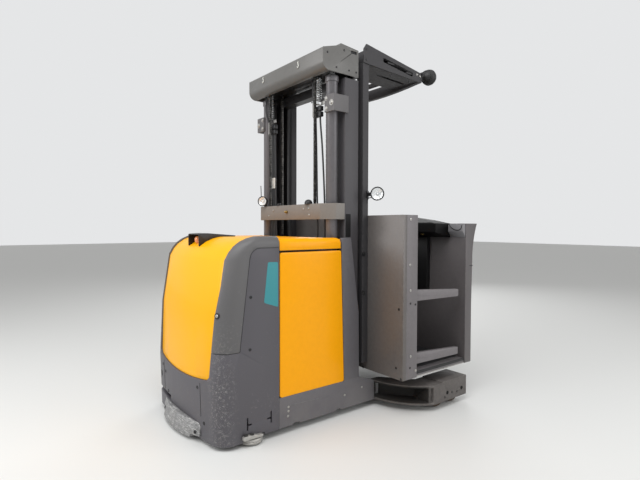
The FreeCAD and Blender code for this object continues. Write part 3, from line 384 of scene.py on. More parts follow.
def smooth_run(points, steps=8):
    # a smooth line through a few points
    ends = [Vector(points[0]) * 2 - Vector(points[1])] + [Vector(p) for p in points]
    ends.append(ends[-1] * 2 - ends[-2])
    line = []
    for a, b, c, d in zip(ends, ends[1:], ends[2:], ends[3:]):
        for t in [k / steps for k in range(steps)]:
            line.append(0.5 * (2 * b + (c - a) * t + (2 * a - 5 * b + 4 * c - d) * t ** 2
                               + (3 * b - a - 3 * c + d) * t ** 3))
    return line + [ends[-2]]


def tube(shape, line, radius, sides=10):
    # round bar, hose or wire along a line
    line = [Vector(p) for p in line]
    rings = []
    across = (line[1] - line[0]).normalized().orthogonal().normalized()
    for i, here in enumerate(line):
        ahead = (line[min(i + 1, len(line) - 1)] - line[max(i - 1, 0)]).normalized()
        across = (across - ahead * across.dot(ahead)).normalized()
        other = ahead.cross(across)
        rings.append([shape.verts.new(here + radius * (across * math.cos(t) + other * math.sin(t)))
                      for t in round_angles(sides)])
    for low, high in zip(rings, rings[1:]):
        walled(shape, low, high)
    shape.faces.new(rings[0])
    shape.faces.new(rings[-1])


chassis_coat = coated("chassis_coat", tint(98, 96, 100), 0.52, dust=0.30)
zinc = coated("zinc", tint(176, 174, 170), 0.34, metal=0.9, blotch=0.15, scuffs=0.3, edges=0.2, dust=0.1)
chrome_plate = coated("chrome_plate", tint(222, 223, 224), 0.24, metal=0.75, blotch=0.05, scuffs=0.1, edges=0.0,
                      dust=0.0)
black_steel = coated("black_steel", tint(40, 40, 42), 0.42, metal=0.3, blotch=0.2, scuffs=0.2)
dress("chassis_frame bulkheads mast_gussets", chassis_coat, 0.0012)
beam_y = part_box("chassis_frame")[1][1]
screws = bmesh.new()
on_sides(screws, socket_screw, [(-0.437, 0.150), (-0.437, 0.127), (-0.440, 0.099), (-0.017, 0.124), (0.128, 0.143)],
         beam_y, 0.007)
fitted("beam_screws", "chassis", zinc, screws)

# the weld bead that joins the side beam to its foot plate, drawn out in short overlapping scales
bead = bmesh.new()
for side in (-1, 1):
    for share in [i / 51 for i in range(52)]:
        spot = (-0.437 + 0.298 * share, side * (beam_y - 0.001), 0.155 - 0.011 * share)
        turned(bead, spot, (1, 0, 0.25), [(0, 0.0012), (0.003, 0.0034), (0.008, 0.0030)], 8)
fitted("beam_weld", "chassis", chassis_coat, bead)

# Load arms
# Flared plates welded to the side beams, with a box round two fixed load wheels each. The top plates are rubbed
# bare and brownish by the pallets that they carry, and the inside of the box is painted dark as shade.

arm_coat = coated("arm_coat", tint(96, 92, 90), 0.55, blotch=0.25, scuffs=0.7, edges=0.7, dust=0.04,
                  edge_width=0.006, shine=0.2)


def recoloured(finish):
    # a finish's nodes and shader, the colour it has so far and the place on the truck
    tree = finish.node_tree
    shader = tree.nodes["Principled BSDF"]
    return tree, shader, shader.inputs["Base Color"].links[0].from_socket, put(tree, "TexCoord").outputs["Object"]


tree, shader, colour, place = recoloured(arm_coat)
parts = put(tree, "SeparateXYZ", Vector=place).outputs
width = put(tree, "Math", operation="ABSOLUTE", Value=parts["Y"]).outputs[0]
# painted shade: the inside of the box between the arm's plates is darkened nearly to black
painted_cavity_shade = worked(tree, "MULTIPLY", graded(tree, width, 0.752, 0.735), graded(tree, parts["Z"], 0.163, 0.157),
               graded(tree, parts["Z"], 0.052, 0.058, 0.0, 0.85))
feed(tree, shader, Base_Color=mixed(tree, painted_cavity_shade, colour, tint(20, 19, 18)))
dress("arm_right arm_left", arm_coat, 0.0012)
arm_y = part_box("arm_left")[1][1]
fixings = bmesh.new()
on_sides(fixings, socket_screw, [(0.568, 0.070), (0.642, 0.087), (0.696, 0.081)], arm_y, 0.008)
on_sides(fixings, bolt, [(0.548, 0.072), (0.700, 0.072)], -0.600, 0.012)
fitted("arm_screws", "chassis", black_steel, fixings)
cap_black = coated("cap_black", tint(18, 18, 18), 0.6, scuffs=0.05, edges=0.1, dust=0.0, shine=0.2)
caps = bmesh.new()
on_sides(caps, turned, [(0.593, 0.094), (0.745, 0.094)], arm_y - 0.006, [
    (-0.002, 0.0118), (0.0065, 0.0118), (0.0078, 0.0105), (0.0045, 0.008), (0.0045, 0.0)], 28)
fitted("arm_hole_caps", "chassis", cap_black, caps)

# Load wheels
# Pressed-on polyurethane tyres on cast hubs, which roll on fixed axles in the arms.


def rubbery(name, colour, rough, marks=0.2, crumb=420.0, depth=0.0002):
    # rubber, vinyl or soft plastic: cloudy colour with paler crumbs
    finish, tree, shader, place = blank(name)
    grit = noise(tree, place, crumb, 4.0, 0.7)
    cloud = noise(tree, place, 18.0, 5.0)
    lighter = shaded(colour, 1 + marks, 0.012 * marks)
    base = mixed(tree, cloud, shaded(colour, 1 - marks), lighter)
    base = mixed(tree, graded(tree, grit, 0.6, 0.8, 0.0, 0.35), base, lighter)
    bump = put(tree, "Bump", Strength=0.7, Distance=depth, Height=grit)
    feed(tree, shader, Base_Color=base, Roughness=graded(tree, cloud, 0.3, 0.7, rough - 0.08, rough + 0.1),
         Normal=bump.outputs["Normal"])
    return finish


def wheel_sizes(node, axis=1):
    # a wheel's middle, radius and half width from its box; its axis is 1 for y and 2 for z
    low, high = [Vector(c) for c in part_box(node)]
    size = (high - low) / 2
    return (low + high) / 2, size[(axis + 1) % 3], size[axis]


tyre_finish = rubbery("tyre_finish", tint(72, 58, 44), 0.5)
hub_cast = coated("hub_cast", tint(92, 90, 88), 0.5, metal=0.4, blotch=0.25, peel=(340.0, 0.0002), edges=0.4)
for side in ("right", "left"):
    for number in ("1", "2"):
        wheel = "load_wheel_%s_%s" % (side, number)
        middle, r, half = wheel_sizes(wheel)
        shoulder = [(-half + 0.004, r - 0.022), (-half, r - 0.018), (-half, r - 0.008), (-half + 0.003, r - 0.003),
                    (-half + 0.009, r), (-0.001, r)]
        turned_piece(wheel + "_tyre", wheel, tyre_finish, middle, (0, 1, 0),
                     shoulder + [(0.0, r - 0.0008)] + [(-along, out) for along, out in reversed(shoulder)],
                     sides=64, stands_for=wheel)
        hub = bmesh.new()
        for way in (-1, 1):
            turned(hub, middle, (0, way, 0), [
                (0.004, r - 0.020), (half - 0.003, r - 0.020), (half - 0.003, r - 0.026), (half - 0.014, r - 0.030),
                (half - 0.014, 0.030), (half - 0.002, 0.027), (half - 0.002, 0.019), (half - 0.006, 0.0165),
                (half - 0.006, 0.0)], 48)
        fitted(wheel + "_hub", wheel, hub_cast, hub, stands_for=wheel)

# Drive unit
# An upright motor on a turntable plate steers a cast gear housing, which carries the driven wheel on one side.

cast_finish = coated("cast_finish", tint(42, 42, 44), 0.6, blotch=0.25, peel=(380.0, 0.0002), scuffs=0.15, edges=0.3)
dress("drive_mount drive_gear guide_brackets chain_pulleys top_rollers base_rollers slide_rollers", cast_finish, 0.001)
motor_coat = coated("motor_coat", tint(58, 60, 64), 0.5, blotch=0.2)
dress("drive_motor", motor_coat, 0.002)
drive_tread = rubbery("drive_tread", tint(58, 53, 47), 0.55, marks=0.3)
middle, r, half = wheel_sizes("drive_wheel")
shoulder = [(-half + 0.006, r - 0.034), (-half, r - 0.028), (-half, r - 0.010), (-half + 0.010, r)]
grooves = []
for across in (-0.024, 0.0, 0.024):
    grooves += [(across - 0.003, r), (across - 0.0015, r - 0.006), (across + 0.0015, r - 0.006), (across + 0.003, r)]
turned_piece("drive_tyre", "drive_wheel", drive_tread, middle, (0, 1, 0),
             shoulder + grooves + [(-along, out) for along, out in reversed(shoulder)],
             sides=96, stands_for="drive_wheel")
hub = bmesh.new()
turned(hub, middle, (0, -1, 0), [(-0.050, r - 0.032), (0.050, r - 0.032), (0.050, 0.094), (0.042, 0.090),
                                 (0.040, 0.070), (0.044, 0.052), (0.044, 0.030), (0.040, 0.0)], 64)
for t in round_angles(8):
    bolt(hub, middle + Vector((0.078 * math.cos(t), -0.041, 0.078 * math.sin(t))), (0, -1, 0), 0.008)
fitted("drive_hub", "drive_wheel", hub_cast, hub, stands_for="drive_wheel")
low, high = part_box("drive_motor")
motor_x, motor_r, up = (low[0] + high[0]) / 2, (high[0] - low[0]) / 2, (0, 0, 1)
cap = bmesh.new()
turned(cap, (motor_x, 0, high[2] - 0.001), up, [
    (0, motor_r - 0.012), (0.010, motor_r - 0.014), (0.016, motor_r - 0.024), (0.016, 0.030), (0.026, 0.026),
    (0.028, 0)], 48)
for t in round_angles(6):
    bolt(cap, (motor_x + 0.068 * math.cos(t), 0.068 * math.sin(t), high[2] + 0.015), up, 0.006)
for i in range(7):
    turned(cap, (motor_x, 0, low[2] + 0.040 + 0.030 * i), up, [
        (0, motor_r - 0.002), (0.003, motor_r + 0.004), (0.009, motor_r + 0.004), (0.012, motor_r - 0.002)], 48)
fitted("motor_cap", "chassis", motor_coat, cap)

# Guide rollers
# Light cast rollers on upright pins under the drive end. They run along the rack's guide rail.

roller_cast = coated("roller_cast", tint(176, 174, 170), 0.45, metal=0.35, blotch=0.2, peel=(260.0, 0.0003), dust=0.2)
for side, hand in ((-1, "right"), (1, "left")):
    roller = "guide_roller_" + hand
    middle, r, half = wheel_sizes(roller, 2)
    turned_piece(roller + "_cast", roller, roller_cast, middle, up, [
        (-half, 0.014), (-half, r - 0.012), (-half + 0.004, r - 0.003), (-half + 0.009, r), (-0.003, r),
        (0.0, r - 0.003), (0.003, r), (half - 0.009, r), (half - 0.004, r - 0.003), (half, r - 0.012),
        (half, r - 0.022), (half - 0.006, r - 0.026), (half - 0.006, 0.026), (half, 0.023), (half, 0.0135)],
        sides=56, stands_for=roller)
    yoke = bmesh.new()
    turned(yoke, (middle.x, middle.y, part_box(roller)[1][2] + 0.002), up, [
        (0, 0.020), (0.003, 0.022), (0.007, 0.022), (0.008, 0.018)], 24)
    for ahead in (-0.034, 0.030):
        bolt(yoke, (middle.x + ahead, middle.y - side * 0.020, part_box("guide_brackets")[0][2] + 0.0185), up, 0.008)
    fitted(roller + "_yoke", "chassis", zinc, yoke)
    guard = bmesh.new()
    corners = [(-0.074, 0.044), (0.044, 0.042), (0.044, 0.054), (0.012, 0.056), (-0.004, 0.062), (-0.060, 0.066),
               (-0.074, 0.060)]
    plate(guard, rounded([(middle.x + x, side * 0.4585, z) for x, z in corners[::-side]], 0.003, 3), 0.0145)
    fitted(roller + "_guard", "chassis", roller_cast, guard, 0.0015)
    guard_bolts = bmesh.new()
    for ahead in (-0.056, -0.020):
        bolt(guard_bolts, (middle.x + ahead, side * 0.462, 0.0655 - 0.11 * (ahead + 0.020)), up, 0.007)
    fitted(roller + "_guard_bolts", "chassis", black_steel, guard_bolts)

# Battery, doors and lid
# A steel battery block behind two lift-off doors, under a hinged lid. Doors and lid are pressed sheet in yellow paint.

battery_finish = coated("battery_finish", tint(70, 72, 74), 0.6)
dress("battery", battery_finish, 0.004)
low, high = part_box("battery")
rows, columns, wall, gap = 3, 8, 0.018, 0.003
cell_x = (high[0] - low[0] - 2 * wall) / rows
cell_y = (high[1] - low[1] - 2 * wall) / columns
cells, caps, leads = bmesh.new(), bmesh.new(), bmesh.new()
for i in range(rows):
    for j in range(columns):
        x, y, top = low[0] + wall + cell_x * i, low[1] + wall + cell_y * j, high[2]
        block(cells, (x + gap, y + gap, top - 0.001), (x + cell_x - gap, y + cell_y - gap, top + 0.016))
        turned(caps, (x + cell_x / 2, y + cell_y / 2, top + 0.015), up, [
            (0, 0.016), (0.006, 0.016), (0.009, 0.013), (0.009, 0.007), (0.014, 0.006), (0.015, 0.0)], 20)
        if j:
            block(leads, (x + 0.030, y - 0.030, top + 0.015), (x + 0.050, y + 0.030, top + 0.021))
cell_black = rubbery("cell_black", tint(48, 49, 52), 0.45, marks=0.15)
cap_yellow = rubbery("cap_yellow", tint(214, 178, 60), 0.4, marks=0.1)
lead_grey = coated("lead_grey", tint(128, 128, 130), 0.5, metal=0.6, blotch=0.2)
fitted("battery_cells", "chassis", cell_black, cells, 0.003)
fitted("battery_caps", "chassis", cap_yellow, caps)
fitted("battery_bars", "chassis", lead_grey, leads, 0.001)
door_yellow = coated("door_yellow", tint(255, 170, 0), 0.36, worn=tint(120, 96, 60), gloss_coat=0.10, blotch=0.03,
                     scuffs=0.1, edges=0.15, dust=0.03, shine=0.15)
dress("battery_doors battery_lid", door_yellow, 0.0018)

# Drive end covers
# A tough moulded skirt and rim in grain-textured grey, and a glossy yellow cover set a few millimetres into them.


def moulded(name, colour, rough, grain=(1500.0, 0.00008), blotch=0.06, scuffs=0.3, scuff_colour=tint(176, 172, 168),
            scuff_top=0.7, coat_weight=0.0, shine=0.4, corner=None):
    # grained plastic: fine cells pressed by the mould, rubbed pale in patches, more so at a corner (x, y) of the truck
    finish, tree, shader, place = blank(name)
    parts = put(tree, "SeparateXYZ", Vector=place).outputs
    cloud = noise(tree, place, 2.6, 4.0)
    base = mixed(tree, cloud, shaded(colour, 1 - blotch), shaded(colour, 1 + blotch))
    low = graded(tree, parts["Z"], scuff_top, 0.05, 0.08, 1.0)
    spots = graded(tree, noise(tree, place, 70.0, 7.0, 0.72), 0.57, 0.70, 0.0, scuffs)
    patches = graded(tree, noise(tree, place, 7.0, 2.0), 0.42, 0.62)
    base = mixed(tree, worked(tree, "MULTIPLY", low, spots, patches), base, scuff_colour)
    if corner:
        width = put(tree, "Math", operation="ABSOLUTE", Value=parts["Y"]).outputs[0]
        rubs = worked(tree, "MULTIPLY", graded(tree, parts["X"], corner[0] + 0.12, corner[0] + 0.02),
                      graded(tree, width, corner[1] - 0.12, corner[1] - 0.02), graded(tree, parts["Z"], 0.72, 0.30),
                      graded(tree, noise(tree, place, 75.0, 9.0, 0.85), 0.52, 0.62, 0.0, 0.85))
        base = mixed(tree, rubs, base, tint(168, 166, 164))
    cells = put(tree, "TexVoronoi", Vector=place, Scale=grain[0] * 0.6).outputs["Distance"]
    bump = put(tree, "Bump", Strength=0.5, Distance=grain[1], Height=cells)
    feed(tree, shader, Base_Color=base, Roughness=graded(tree, cloud, 0.3, 0.7, rough - 0.05, rough + 0.06),
         Specular_IOR_Level=shine, Coat_Weight=coat_weight, Coat_Roughness=0.1, Normal=bump.outputs["Normal"])
    return finish


skirt_grey = moulded("skirt_grey", tint(86, 84, 89), 0.47, corner=(-0.87, 0.45))
rim_grey = moulded("rim_grey", tint(96, 95, 96), 0.42, scuff_top=1.1, corner=(-0.86, 0.45))
hood_yellow = moulded("hood_yellow", tint(255, 180, 0), 0.40, grain=(2200.0, 0.00002), blotch=0.03, scuffs=0.0,
                      scuff_colour=tint(250, 206, 120), coat_weight=0.12, shine=0.18)
black_plastic = moulded("black_plastic", tint(34, 34, 36), 0.4, scuffs=0.2)
teal_label = moulded("teal_label", tint(56, 142, 150), 0.35, blotch=0.04, scuffs=0.1)
joint_black = rubbery("joint_black", tint(24, 24, 26), 0.7, marks=0.1)
dress("drive_skin", skirt_grey, 0.0015)
dress("hood_rim", rim_grey, 0.0015)
dress("hood_cover", hood_yellow, 0.0022)
dress("beacon_housing", black_plastic, 0.002)


def on_nose(node, y, z):
    return on_face(node, (-1.4, y, z), (1, 0, 0))


side_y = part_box("drive_skin")[1][1]
label = bmesh.new()
side_plates(label, [(-0.571, 0.974), (-0.596, 0.755), (-0.507, 0.724), (-0.507, 0.972)], side_y, 0.010, 0.0006)
fitted("side_labels", "chassis", teal_label, label)

plugs = bmesh.new()
on_sides(plugs, turned, [(-0.677, 0.793), (-0.682, 0.515)], side_y, [
    (-0.001, 0.0085), (0.0012, 0.0085), (0.0016, 0.007), (0.0004, 0.0055), (0.0004, 0.0)], 24)
for y, z in ((0.243, 0.267), (-0.241, 0.300), (0.193, 0.160), (0.299, 0.300), (-0.299, 0.120)):
    turned(plugs, *on_nose("drive_skin", y, z), [
        (-0.001, 0.010), (0.0014, 0.010), (0.002, 0.008), (0.0005, 0.006), (0.0005, 0.0)], 24)
for y, z in ((-0.232, 0.056), (0.200, 0.060)):
    socket_screw(plugs, *on_nose("bumper_plate", y, z), 0.010)
fitted("skirt_plugs", "chassis", black_plastic, plugs)

spot, facing = on_nose("drive_skin", 0.350, 0.231)
vent = bmesh.new()
block(vent, spot + Vector((-0.0015, -0.022, -0.016)), spot + Vector((0.006, 0.022, 0.016)),
      Matrix.Rotation(math.atan2(-facing.y, -facing.x), 3, "Z"), spot)
fitted("charger_flap", "chassis", black_plastic, vent, 0.002)

lock_at = on_nose("hood_rim", -0.400, 0.705)
turned_piece("hood_lock_ring", "chassis", black_plastic, *lock_at, [
    (-0.003, 0.016), (0.002, 0.016), (0.004, 0.014), (0.004, 0.008)])
turned_piece("hood_lock_core", "chassis", zinc, *lock_at, [
    (0, 0.0085), (0.004, 0.0085), (0.0055, 0.007), (0.0055, 0.0025), (0.003, 0.002), (0.003, 0)])

# the nose is three mouldings: two narrow dark joints run from the cover down to the foot
joints = bmesh.new()
for y in (-0.270, 0.270):
    line = [on_nose("drive_skin", y, 0.331 - 0.0140 * i) for i in range(14)]
    tube(joints, [place + out * 0.0002 for place, out in line], 0.0014, 6)
fitted("nose_joints", "chassis", joint_black, joints)

# the rim meets the skin in a rubber joint: over the side from the lid, round a bend, down, and along to the cover
seam = [(-0.500, 1.051), (-0.561, 1.051), (-0.622, 1.051), (-0.6435, 1.047), (-0.662, 1.0356), (-0.675, 1.019),
        (-0.6816, 0.998), (-0.712, 0.753), (-0.7415, 0.513)]
joints = bmesh.new()
for side in (-1, 1):
    line = [Vector((x, side * side_y, z)) for x, z in seam]
    corner = Vector((-0.745, side * 0.330, 0.5093))
    for turn in [math.radians(5.8 * i) for i in range(12)]:
        outward = Vector((-math.sin(turn), side * math.cos(turn), 0))
        line.append(on_face("drive_skin", corner + outward, -outward)[0])
    tube(joints, line, 0.0013, 6)
fitted("rim_joints", "chassis", joint_black, joints)

# Beacon lens
# A small amber globe of ribbed clear plastic inside the housing.

amber_lens, tree, shader, place = blank("amber_lens")
bands = put(tree, "TexWave", bands_direction="Z", Vector=place, Scale=45.0).outputs["Fac"]
feed(tree, shader, Base_Color=mixed(tree, bands, tint(214, 104, 30), tint(246, 164, 92)), Roughness=0.12,
     Coat_Weight=0.6, Normal=put(tree, "Bump", Distance=0.0006, Height=bands).outputs["Normal"])
dress("beacon_lens", amber_lens)

# Bumper plate
# A bowed cast strip across the foot of the nose, scraped bright where it has met racks and kerbs.

scraped_plate = coated("scraped_plate", tint(128, 128, 129), 0.5, worn=tint(214, 213, 210), blotch=0.4, scuffs=1.0,
                       edges=0.7, dust=0.1, peel=(300.0, 0.0003), edge_width=0.006)
tree, shader, colour, place = recoloured(scraped_plate)
drawn = put(tree, "Mapping", Vector=place, Scale=(60.0, 9.0, 150.0)).outputs["Vector"]
strokes = graded(tree, noise(tree, drawn, 1.6, 6.0, 0.75), 0.50, 0.62)
rubs = graded(tree, noise(tree, place, 22.0, 6.0, 0.7), 0.40, 0.60, 0.0, 0.9)
feed(tree, shader, Base_Color=mixed(tree, worked(tree, "MULTIPLY", strokes, rubs), colour, tint(222, 222, 220)))
dress("bumper_plate", scraped_plate, 0.003)

# Outer mast
# Two rolled channels joined by a cross plate and a low tie, with the lift cylinders clamped in front of them.

mast_coat = coated("mast_coat", tint(66, 64, 67), 0.45, scuffs=0.2, edges=0.25)
bracket_coat = coated("bracket_coat", tint(98, 96, 97), 0.45, edges=0.3)
# painted light: the crossbar has a lighter, warmer copy of the mast's grey, for its face turned to the lamps
crossbar_coat_painted_lit = coated("crossbar_coat_painted_lit", tint(124, 119, 114), 0.40, blotch=0.08, scuffs=0.15, edges=0.3)
cylinder_coat = coated("cylinder_coat", tint(106, 104, 107), 0.34, metal=0.2, blotch=0.06, scuffs=0.0, edges=0.1)
brass = coated("brass", tint(176, 150, 92), 0.3, metal=0.9, blotch=0.15, edges=0.1, dust=0.0)
sign_black = moulded("sign_black", tint(9, 8, 9), 0.45, blotch=0.1, scuffs=0.1, shine=0.2)
dress("mast_outer", mast_coat, 0.0015)
dress("cylinder_clamps", bracket_coat, 0.0015)
dress("mast_crossbar", crossbar_coat_painted_lit, 0.0015)
dress("lift_cylinders", cylinder_coat, 0.002)

backward = (-1, 0, 0)
bar_x, bar_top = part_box("mast_crossbar")[0][0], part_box("mast_crossbar")[1][2]
clamp_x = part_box("cylinder_clamps")[0][0]
fixings = bmesh.new()
for y, z in ((-0.180, 1.279), (-0.233, 1.281), (-0.239, 1.240), (0.180, 1.279), (0.239, 1.240)):
    socket_screw(fixings, (bar_x, y, z), backward, 0.0075)
for side in (-1, 1):
    for y, z, radius in ((0.425, 1.913, 0.011), (0.374, 1.945, 0.008), (0.374, 1.885, 0.008)):
        bolt(fixings, (clamp_x, side * y, z), backward, radius)
fitted("mast_fixings", "chassis", zinc, fixings)
nipple = bmesh.new()
turned(nipple, (bar_x, 0.010, 1.264), backward, [(-0.001, 0.011), (0.006, 0.011)], 6)
turned(nipple, (bar_x, 0.010, 1.264), backward, [
    (0.006, 0.008), (0.012, 0.008), (0.013, 0.005), (0.022, 0.0045), (0.024, 0.0)], 20)
fitted("bleed_nipple", "chassis", brass, nipple)
dome = bmesh.new()
turned(dome, (bar_x + 0.008, -0.223, bar_top), up, [
    (-0.001, 0.026), (0.010, 0.026), (0.020, 0.021), (0.027, 0.011), (0.029, 0.0)], 28)
turned(dome, (bar_x + 0.008, 0.120, bar_top), up, [(-0.001, 0.014), (0.012, 0.014), (0.016, 0.010), (0.016, 0.0)], 20)
fitted("crossbar_domes", "chassis", black_plastic, dome)
sign = bmesh.new()
side_plates(sign, [(-0.003, 1.245), (-0.003, 1.102), (0.039, 1.102), (0.039, 1.245)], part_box("mast_outer")[1][1],
            0.005, 0.0006)
fitted("mast_signs", "chassis", sign_black, sign)

# Work lamps
# Round black lamps with a faceted mirror behind clear glass, each on its own bracket. This one stands on the crossbar.

# painted reflection: the reflector gets a pale white diffuse colour that lights up under the lamps, in place of a
# mirror's reflection
mirror_painted_reflection = coated("mirror_painted_reflection", tint(238, 240, 241), 0.22, metal=0.45, blotch=0.03, scuffs=0.0, edges=0.0, dust=0.0,
                peel=(260.0, 0.0004), shine=0.5)
lamp_glass, tree, shader, place = blank("lamp_glass")
rings = put(tree, "TexWave", Vector=place, Scale=30.0).outputs["Fac"]
feed(tree, shader, Base_Color=tint(236, 240, 242), Alpha=0.16, Roughness=0.03,
     Normal=put(tree, "Bump", Strength=0.3, Distance=0.0004, Height=rings).outputs["Normal"])


def work_lamp(node, body, centre, r, depth):
    # housing with cooling ribs, dished mirror with its bulb, and glass, looking back and outward
    facing = Vector((-0.84, -0.54, 0))
    shell = bmesh.new()
    turned(shell, centre, facing, [
        (-depth, 0.0), (-depth, r * 0.42), (-depth * 0.86, r * 0.62), (-depth * 0.45, r * 0.92),
        (-depth * 0.22, r * 0.97), (-0.004, r), (0.0, r * 0.97), (0.0, r * 0.86), (-0.004, r * 0.84),
        (-depth * 0.40, r * 0.70), (-depth * 0.62, r * 0.2), (-depth * 0.62, 0.0)], 40)
    for i in range(5):
        rib = r * (0.90 - 0.05 * i)
        turned(shell, Vector(centre) - facing * depth * (0.48 + 0.09 * i), facing, [
            (0, rib), (0.0015, rib + r * 0.05), (0.003, rib)], 32)
    fitted(node + "_shell", body, black_plastic, shell, stands_for=node)
    dish = bmesh.new()
    turned(dish, centre, facing, [
        (-depth * 0.56, 0.0), (-depth * 0.42, r * 0.60), (-0.0060, r * 0.835), (-0.0045, r * 0.83),
        (-depth * 0.17, r * 0.60), (-depth * 0.32, r * 0.34), (-depth * 0.42, 0.010), (-depth * 0.42, 0.0)], 14)
    turned(dish, centre, facing, [
        (-depth * 0.46, 0.0085), (-depth * 0.20, 0.0075), (-depth * 0.14, 0.004), (-depth * 0.12, 0.0)], 12)
    fitted(node + "_mirror", body, mirror_painted_reflection, dish, stands_for=node)
    turned_piece(node + "_glass", body, lamp_glass, centre, facing, [
        (-0.0035, r * 0.83), (-0.0015, r * 0.83), (0.0, r * 0.6), (0.0008, 0.0)], sides=40, stands_for=node)


low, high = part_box("mast_lamp")
lamp_r = 0.036
lamp_at = Vector((low[0], low[1] + lamp_r, high[2] - lamp_r))
work_lamp("mast_lamp", "chassis", lamp_at + Vector((0.006, -0.004, 0)), lamp_r, 0.052)
stand = bmesh.new()
block(stand, (bar_x + 0.001, lamp_at.y - 0.012, bar_top - 0.001), (bar_x + 0.006, lamp_at.y + 0.012, lamp_at.z + 0.012))
bolt(stand, (bar_x + 0.006, lamp_at.y, lamp_at.z), (1, 0, 0), 0.006)
lead = [(0.010, 0.014, lamp_r * 0.80), (0.010, 0.016, lamp_r + 0.03), (0.008, 0.016, lamp_r + 0.075)]
tube(stand, smooth_run([lamp_at + Vector(p) for p in lead]), 0.003)
fitted("mast_lamp_stand", "chassis", black_steel, stand, 0.0008, "mast_lamp")

# Inner mast
# I-beams that run inside the outer channels on rollers, with a cover over the chain pulleys. The running faces
# are black with grease, and the rods are hard chromed.

greased_steel = coated("greased_steel", tint(38, 37, 38), 0.33, worn=tint(92, 90, 88), metal=0.25, blotch=0.3,
                       scuffs=0.5, edges=0.5)
head_coat = coated("head_coat", tint(104, 103, 101), 0.34, metal=0.1, blotch=0.06, scuffs=0.1, edges=0.4)
pale_hook = coated("pale_hook", tint(206, 206, 200), 0.4, metal=0.2, edges=0.1)
dress("mast_inner head_beam", greased_steel, 0.001)
dress("mast_head", head_coat, 0.002)
dress("lift_rods", chrome_plate)


def side_blocks(shape, low, high):
    # the same block on both sides of the truck
    for side in (-1, 1):
        ys = sorted((side * low[1], side * high[1]))
        block(shape, (low[0], ys[0], low[2]), (high[0], ys[1], high[2]))


hook_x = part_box("mast_head")[0][0] - 0.004
bend = [(0.005, 0.004, 0.016), (0, 0.004, 0.012), (0, 0, -0.006), (0, -0.002, -0.016), (0, 0.006, -0.022),
        (0, 0.011, -0.014)]
hooks = bmesh.new()
for y, z in ((0.230, 2.194), (-0.193, 2.186)):
    tube(hooks, smooth_run([Vector((hook_x, y, z)) + Vector(p) for p in bend]), 0.0026)
fitted("head_hooks", "inner_mast", pale_hook, hooks)
rivets_and_slot_shade = bmesh.new()
on_sides(rivets_and_slot_shade, socket_screw, [(-0.150, 2.200), (-0.080, 2.125), (0.020, 2.125), (0.080, 2.125), (-0.020, 2.240)],
         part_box("mast_head")[1][1], 0.006)
# painted shade: a thin black block on each side of the head stands for the dark inside of a slot
side_blocks(rivets_and_slot_shade, (0.030, 0.4215, 2.222), (0.094, 0.4275, 2.2555))
fitted("head_rivets_and_slot_shade", "inner_mast", black_steel, rivets_and_slot_shade)

# Lift chains
# Leaf chains of stamped plates on cross pins, black with grease. Each runs from the cab's anchor over its pulley in
# the mast head and down to the crossbar.

chain_steel = coated("chain_steel", tint(50, 49, 48), 0.38, worn=tint(150, 148, 144), metal=0.6, blotch=0.4, scuffs=0.6,
                     edges=0.7, dust=0.0)
chain_pitch = 0.0159
chain_width = 0.022
plate_thick = 0.0022
waist = [(0.0, 0.45), (0.08, 0.85), (0.2, 1.0), (0.5, 0.72), (0.8, 1.0), (0.92, 0.85), (1.0, 0.45)]


def chain_run(name, body, line):
    # along the line three or four stamped plates in turn, side by side between two pins
    shape = bmesh.new()
    across = Vector((0, 1, 0))
    for i, (foot, tip) in enumerate(zip(line, line[1:])):
        along = (tip - foot).normalized()
        wide = along.cross(across).normalized() * 0.0055
        length = along * ((tip - foot).length + 0.0060)
        ring = [foot - along * 0.0030 + length * share + wide * width for share, width in waist]
        ring += [foot - along * 0.0030 + length * share - wide * width for share, width in reversed(waist)]
        count = 4 if i % 2 else 3
        for k in range(count):
            at = across * (k - (count - 1) / 2) * chain_width / count
            faces = [[shape.verts.new(p + at + across * half) for p in ring]
                     for half in (-plate_thick / 2, plate_thick / 2)]
            shape.faces.new(faces[0])
            shape.faces.new(faces[1])
            walled(shape, *faces)
        turned(shape, foot - across * chain_width / 2, across, [(0, 0.0028), (chain_width, 0.0028)], 8)
    return fitted(name, body, chain_steel, shape, stands_for="lift_chains")


low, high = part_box("lift_chains")
rear_x, front_x, pulley_z = low[0] + 0.006, high[0] - 0.006, high[2]
wrap_x, wrap_r = (rear_x + front_x) / 2, (front_x - rear_x) / 2
for side, hand in ((-1, "right"), (1, "left")):
    y = side * (high[1] - chain_width / 2)
    for end, x, foot_z, carrier in (("front", front_x, low[2], "cab"), ("rear", rear_x, bar_top, "chassis")):
        count = int((pulley_z - foot_z) / chain_pitch)
        line = [Vector((x, y, pulley_z - (pulley_z - foot_z) * i / count)) for i in range(count + 1)]
        strand = chain_run(end + "_chain_" + hand, None, line)
        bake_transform(strand)
    angles = [math.pi * i / 10 for i in range(11)]
    chain_run("pulley_chain_" + hand, "inner_mast", [
        Vector((wrap_x - wrap_r * math.cos(t), y, pulley_z + wrap_r * math.sin(t))) for t in angles])

# Hose and spring sets
# On each side a chromed spring hangs on a hook under the head beam and holds a moulded hose clamp by an angle
# bracket. Rubber hoses run from the clamp down behind the crossbar to the valve block at the foot of the mast.

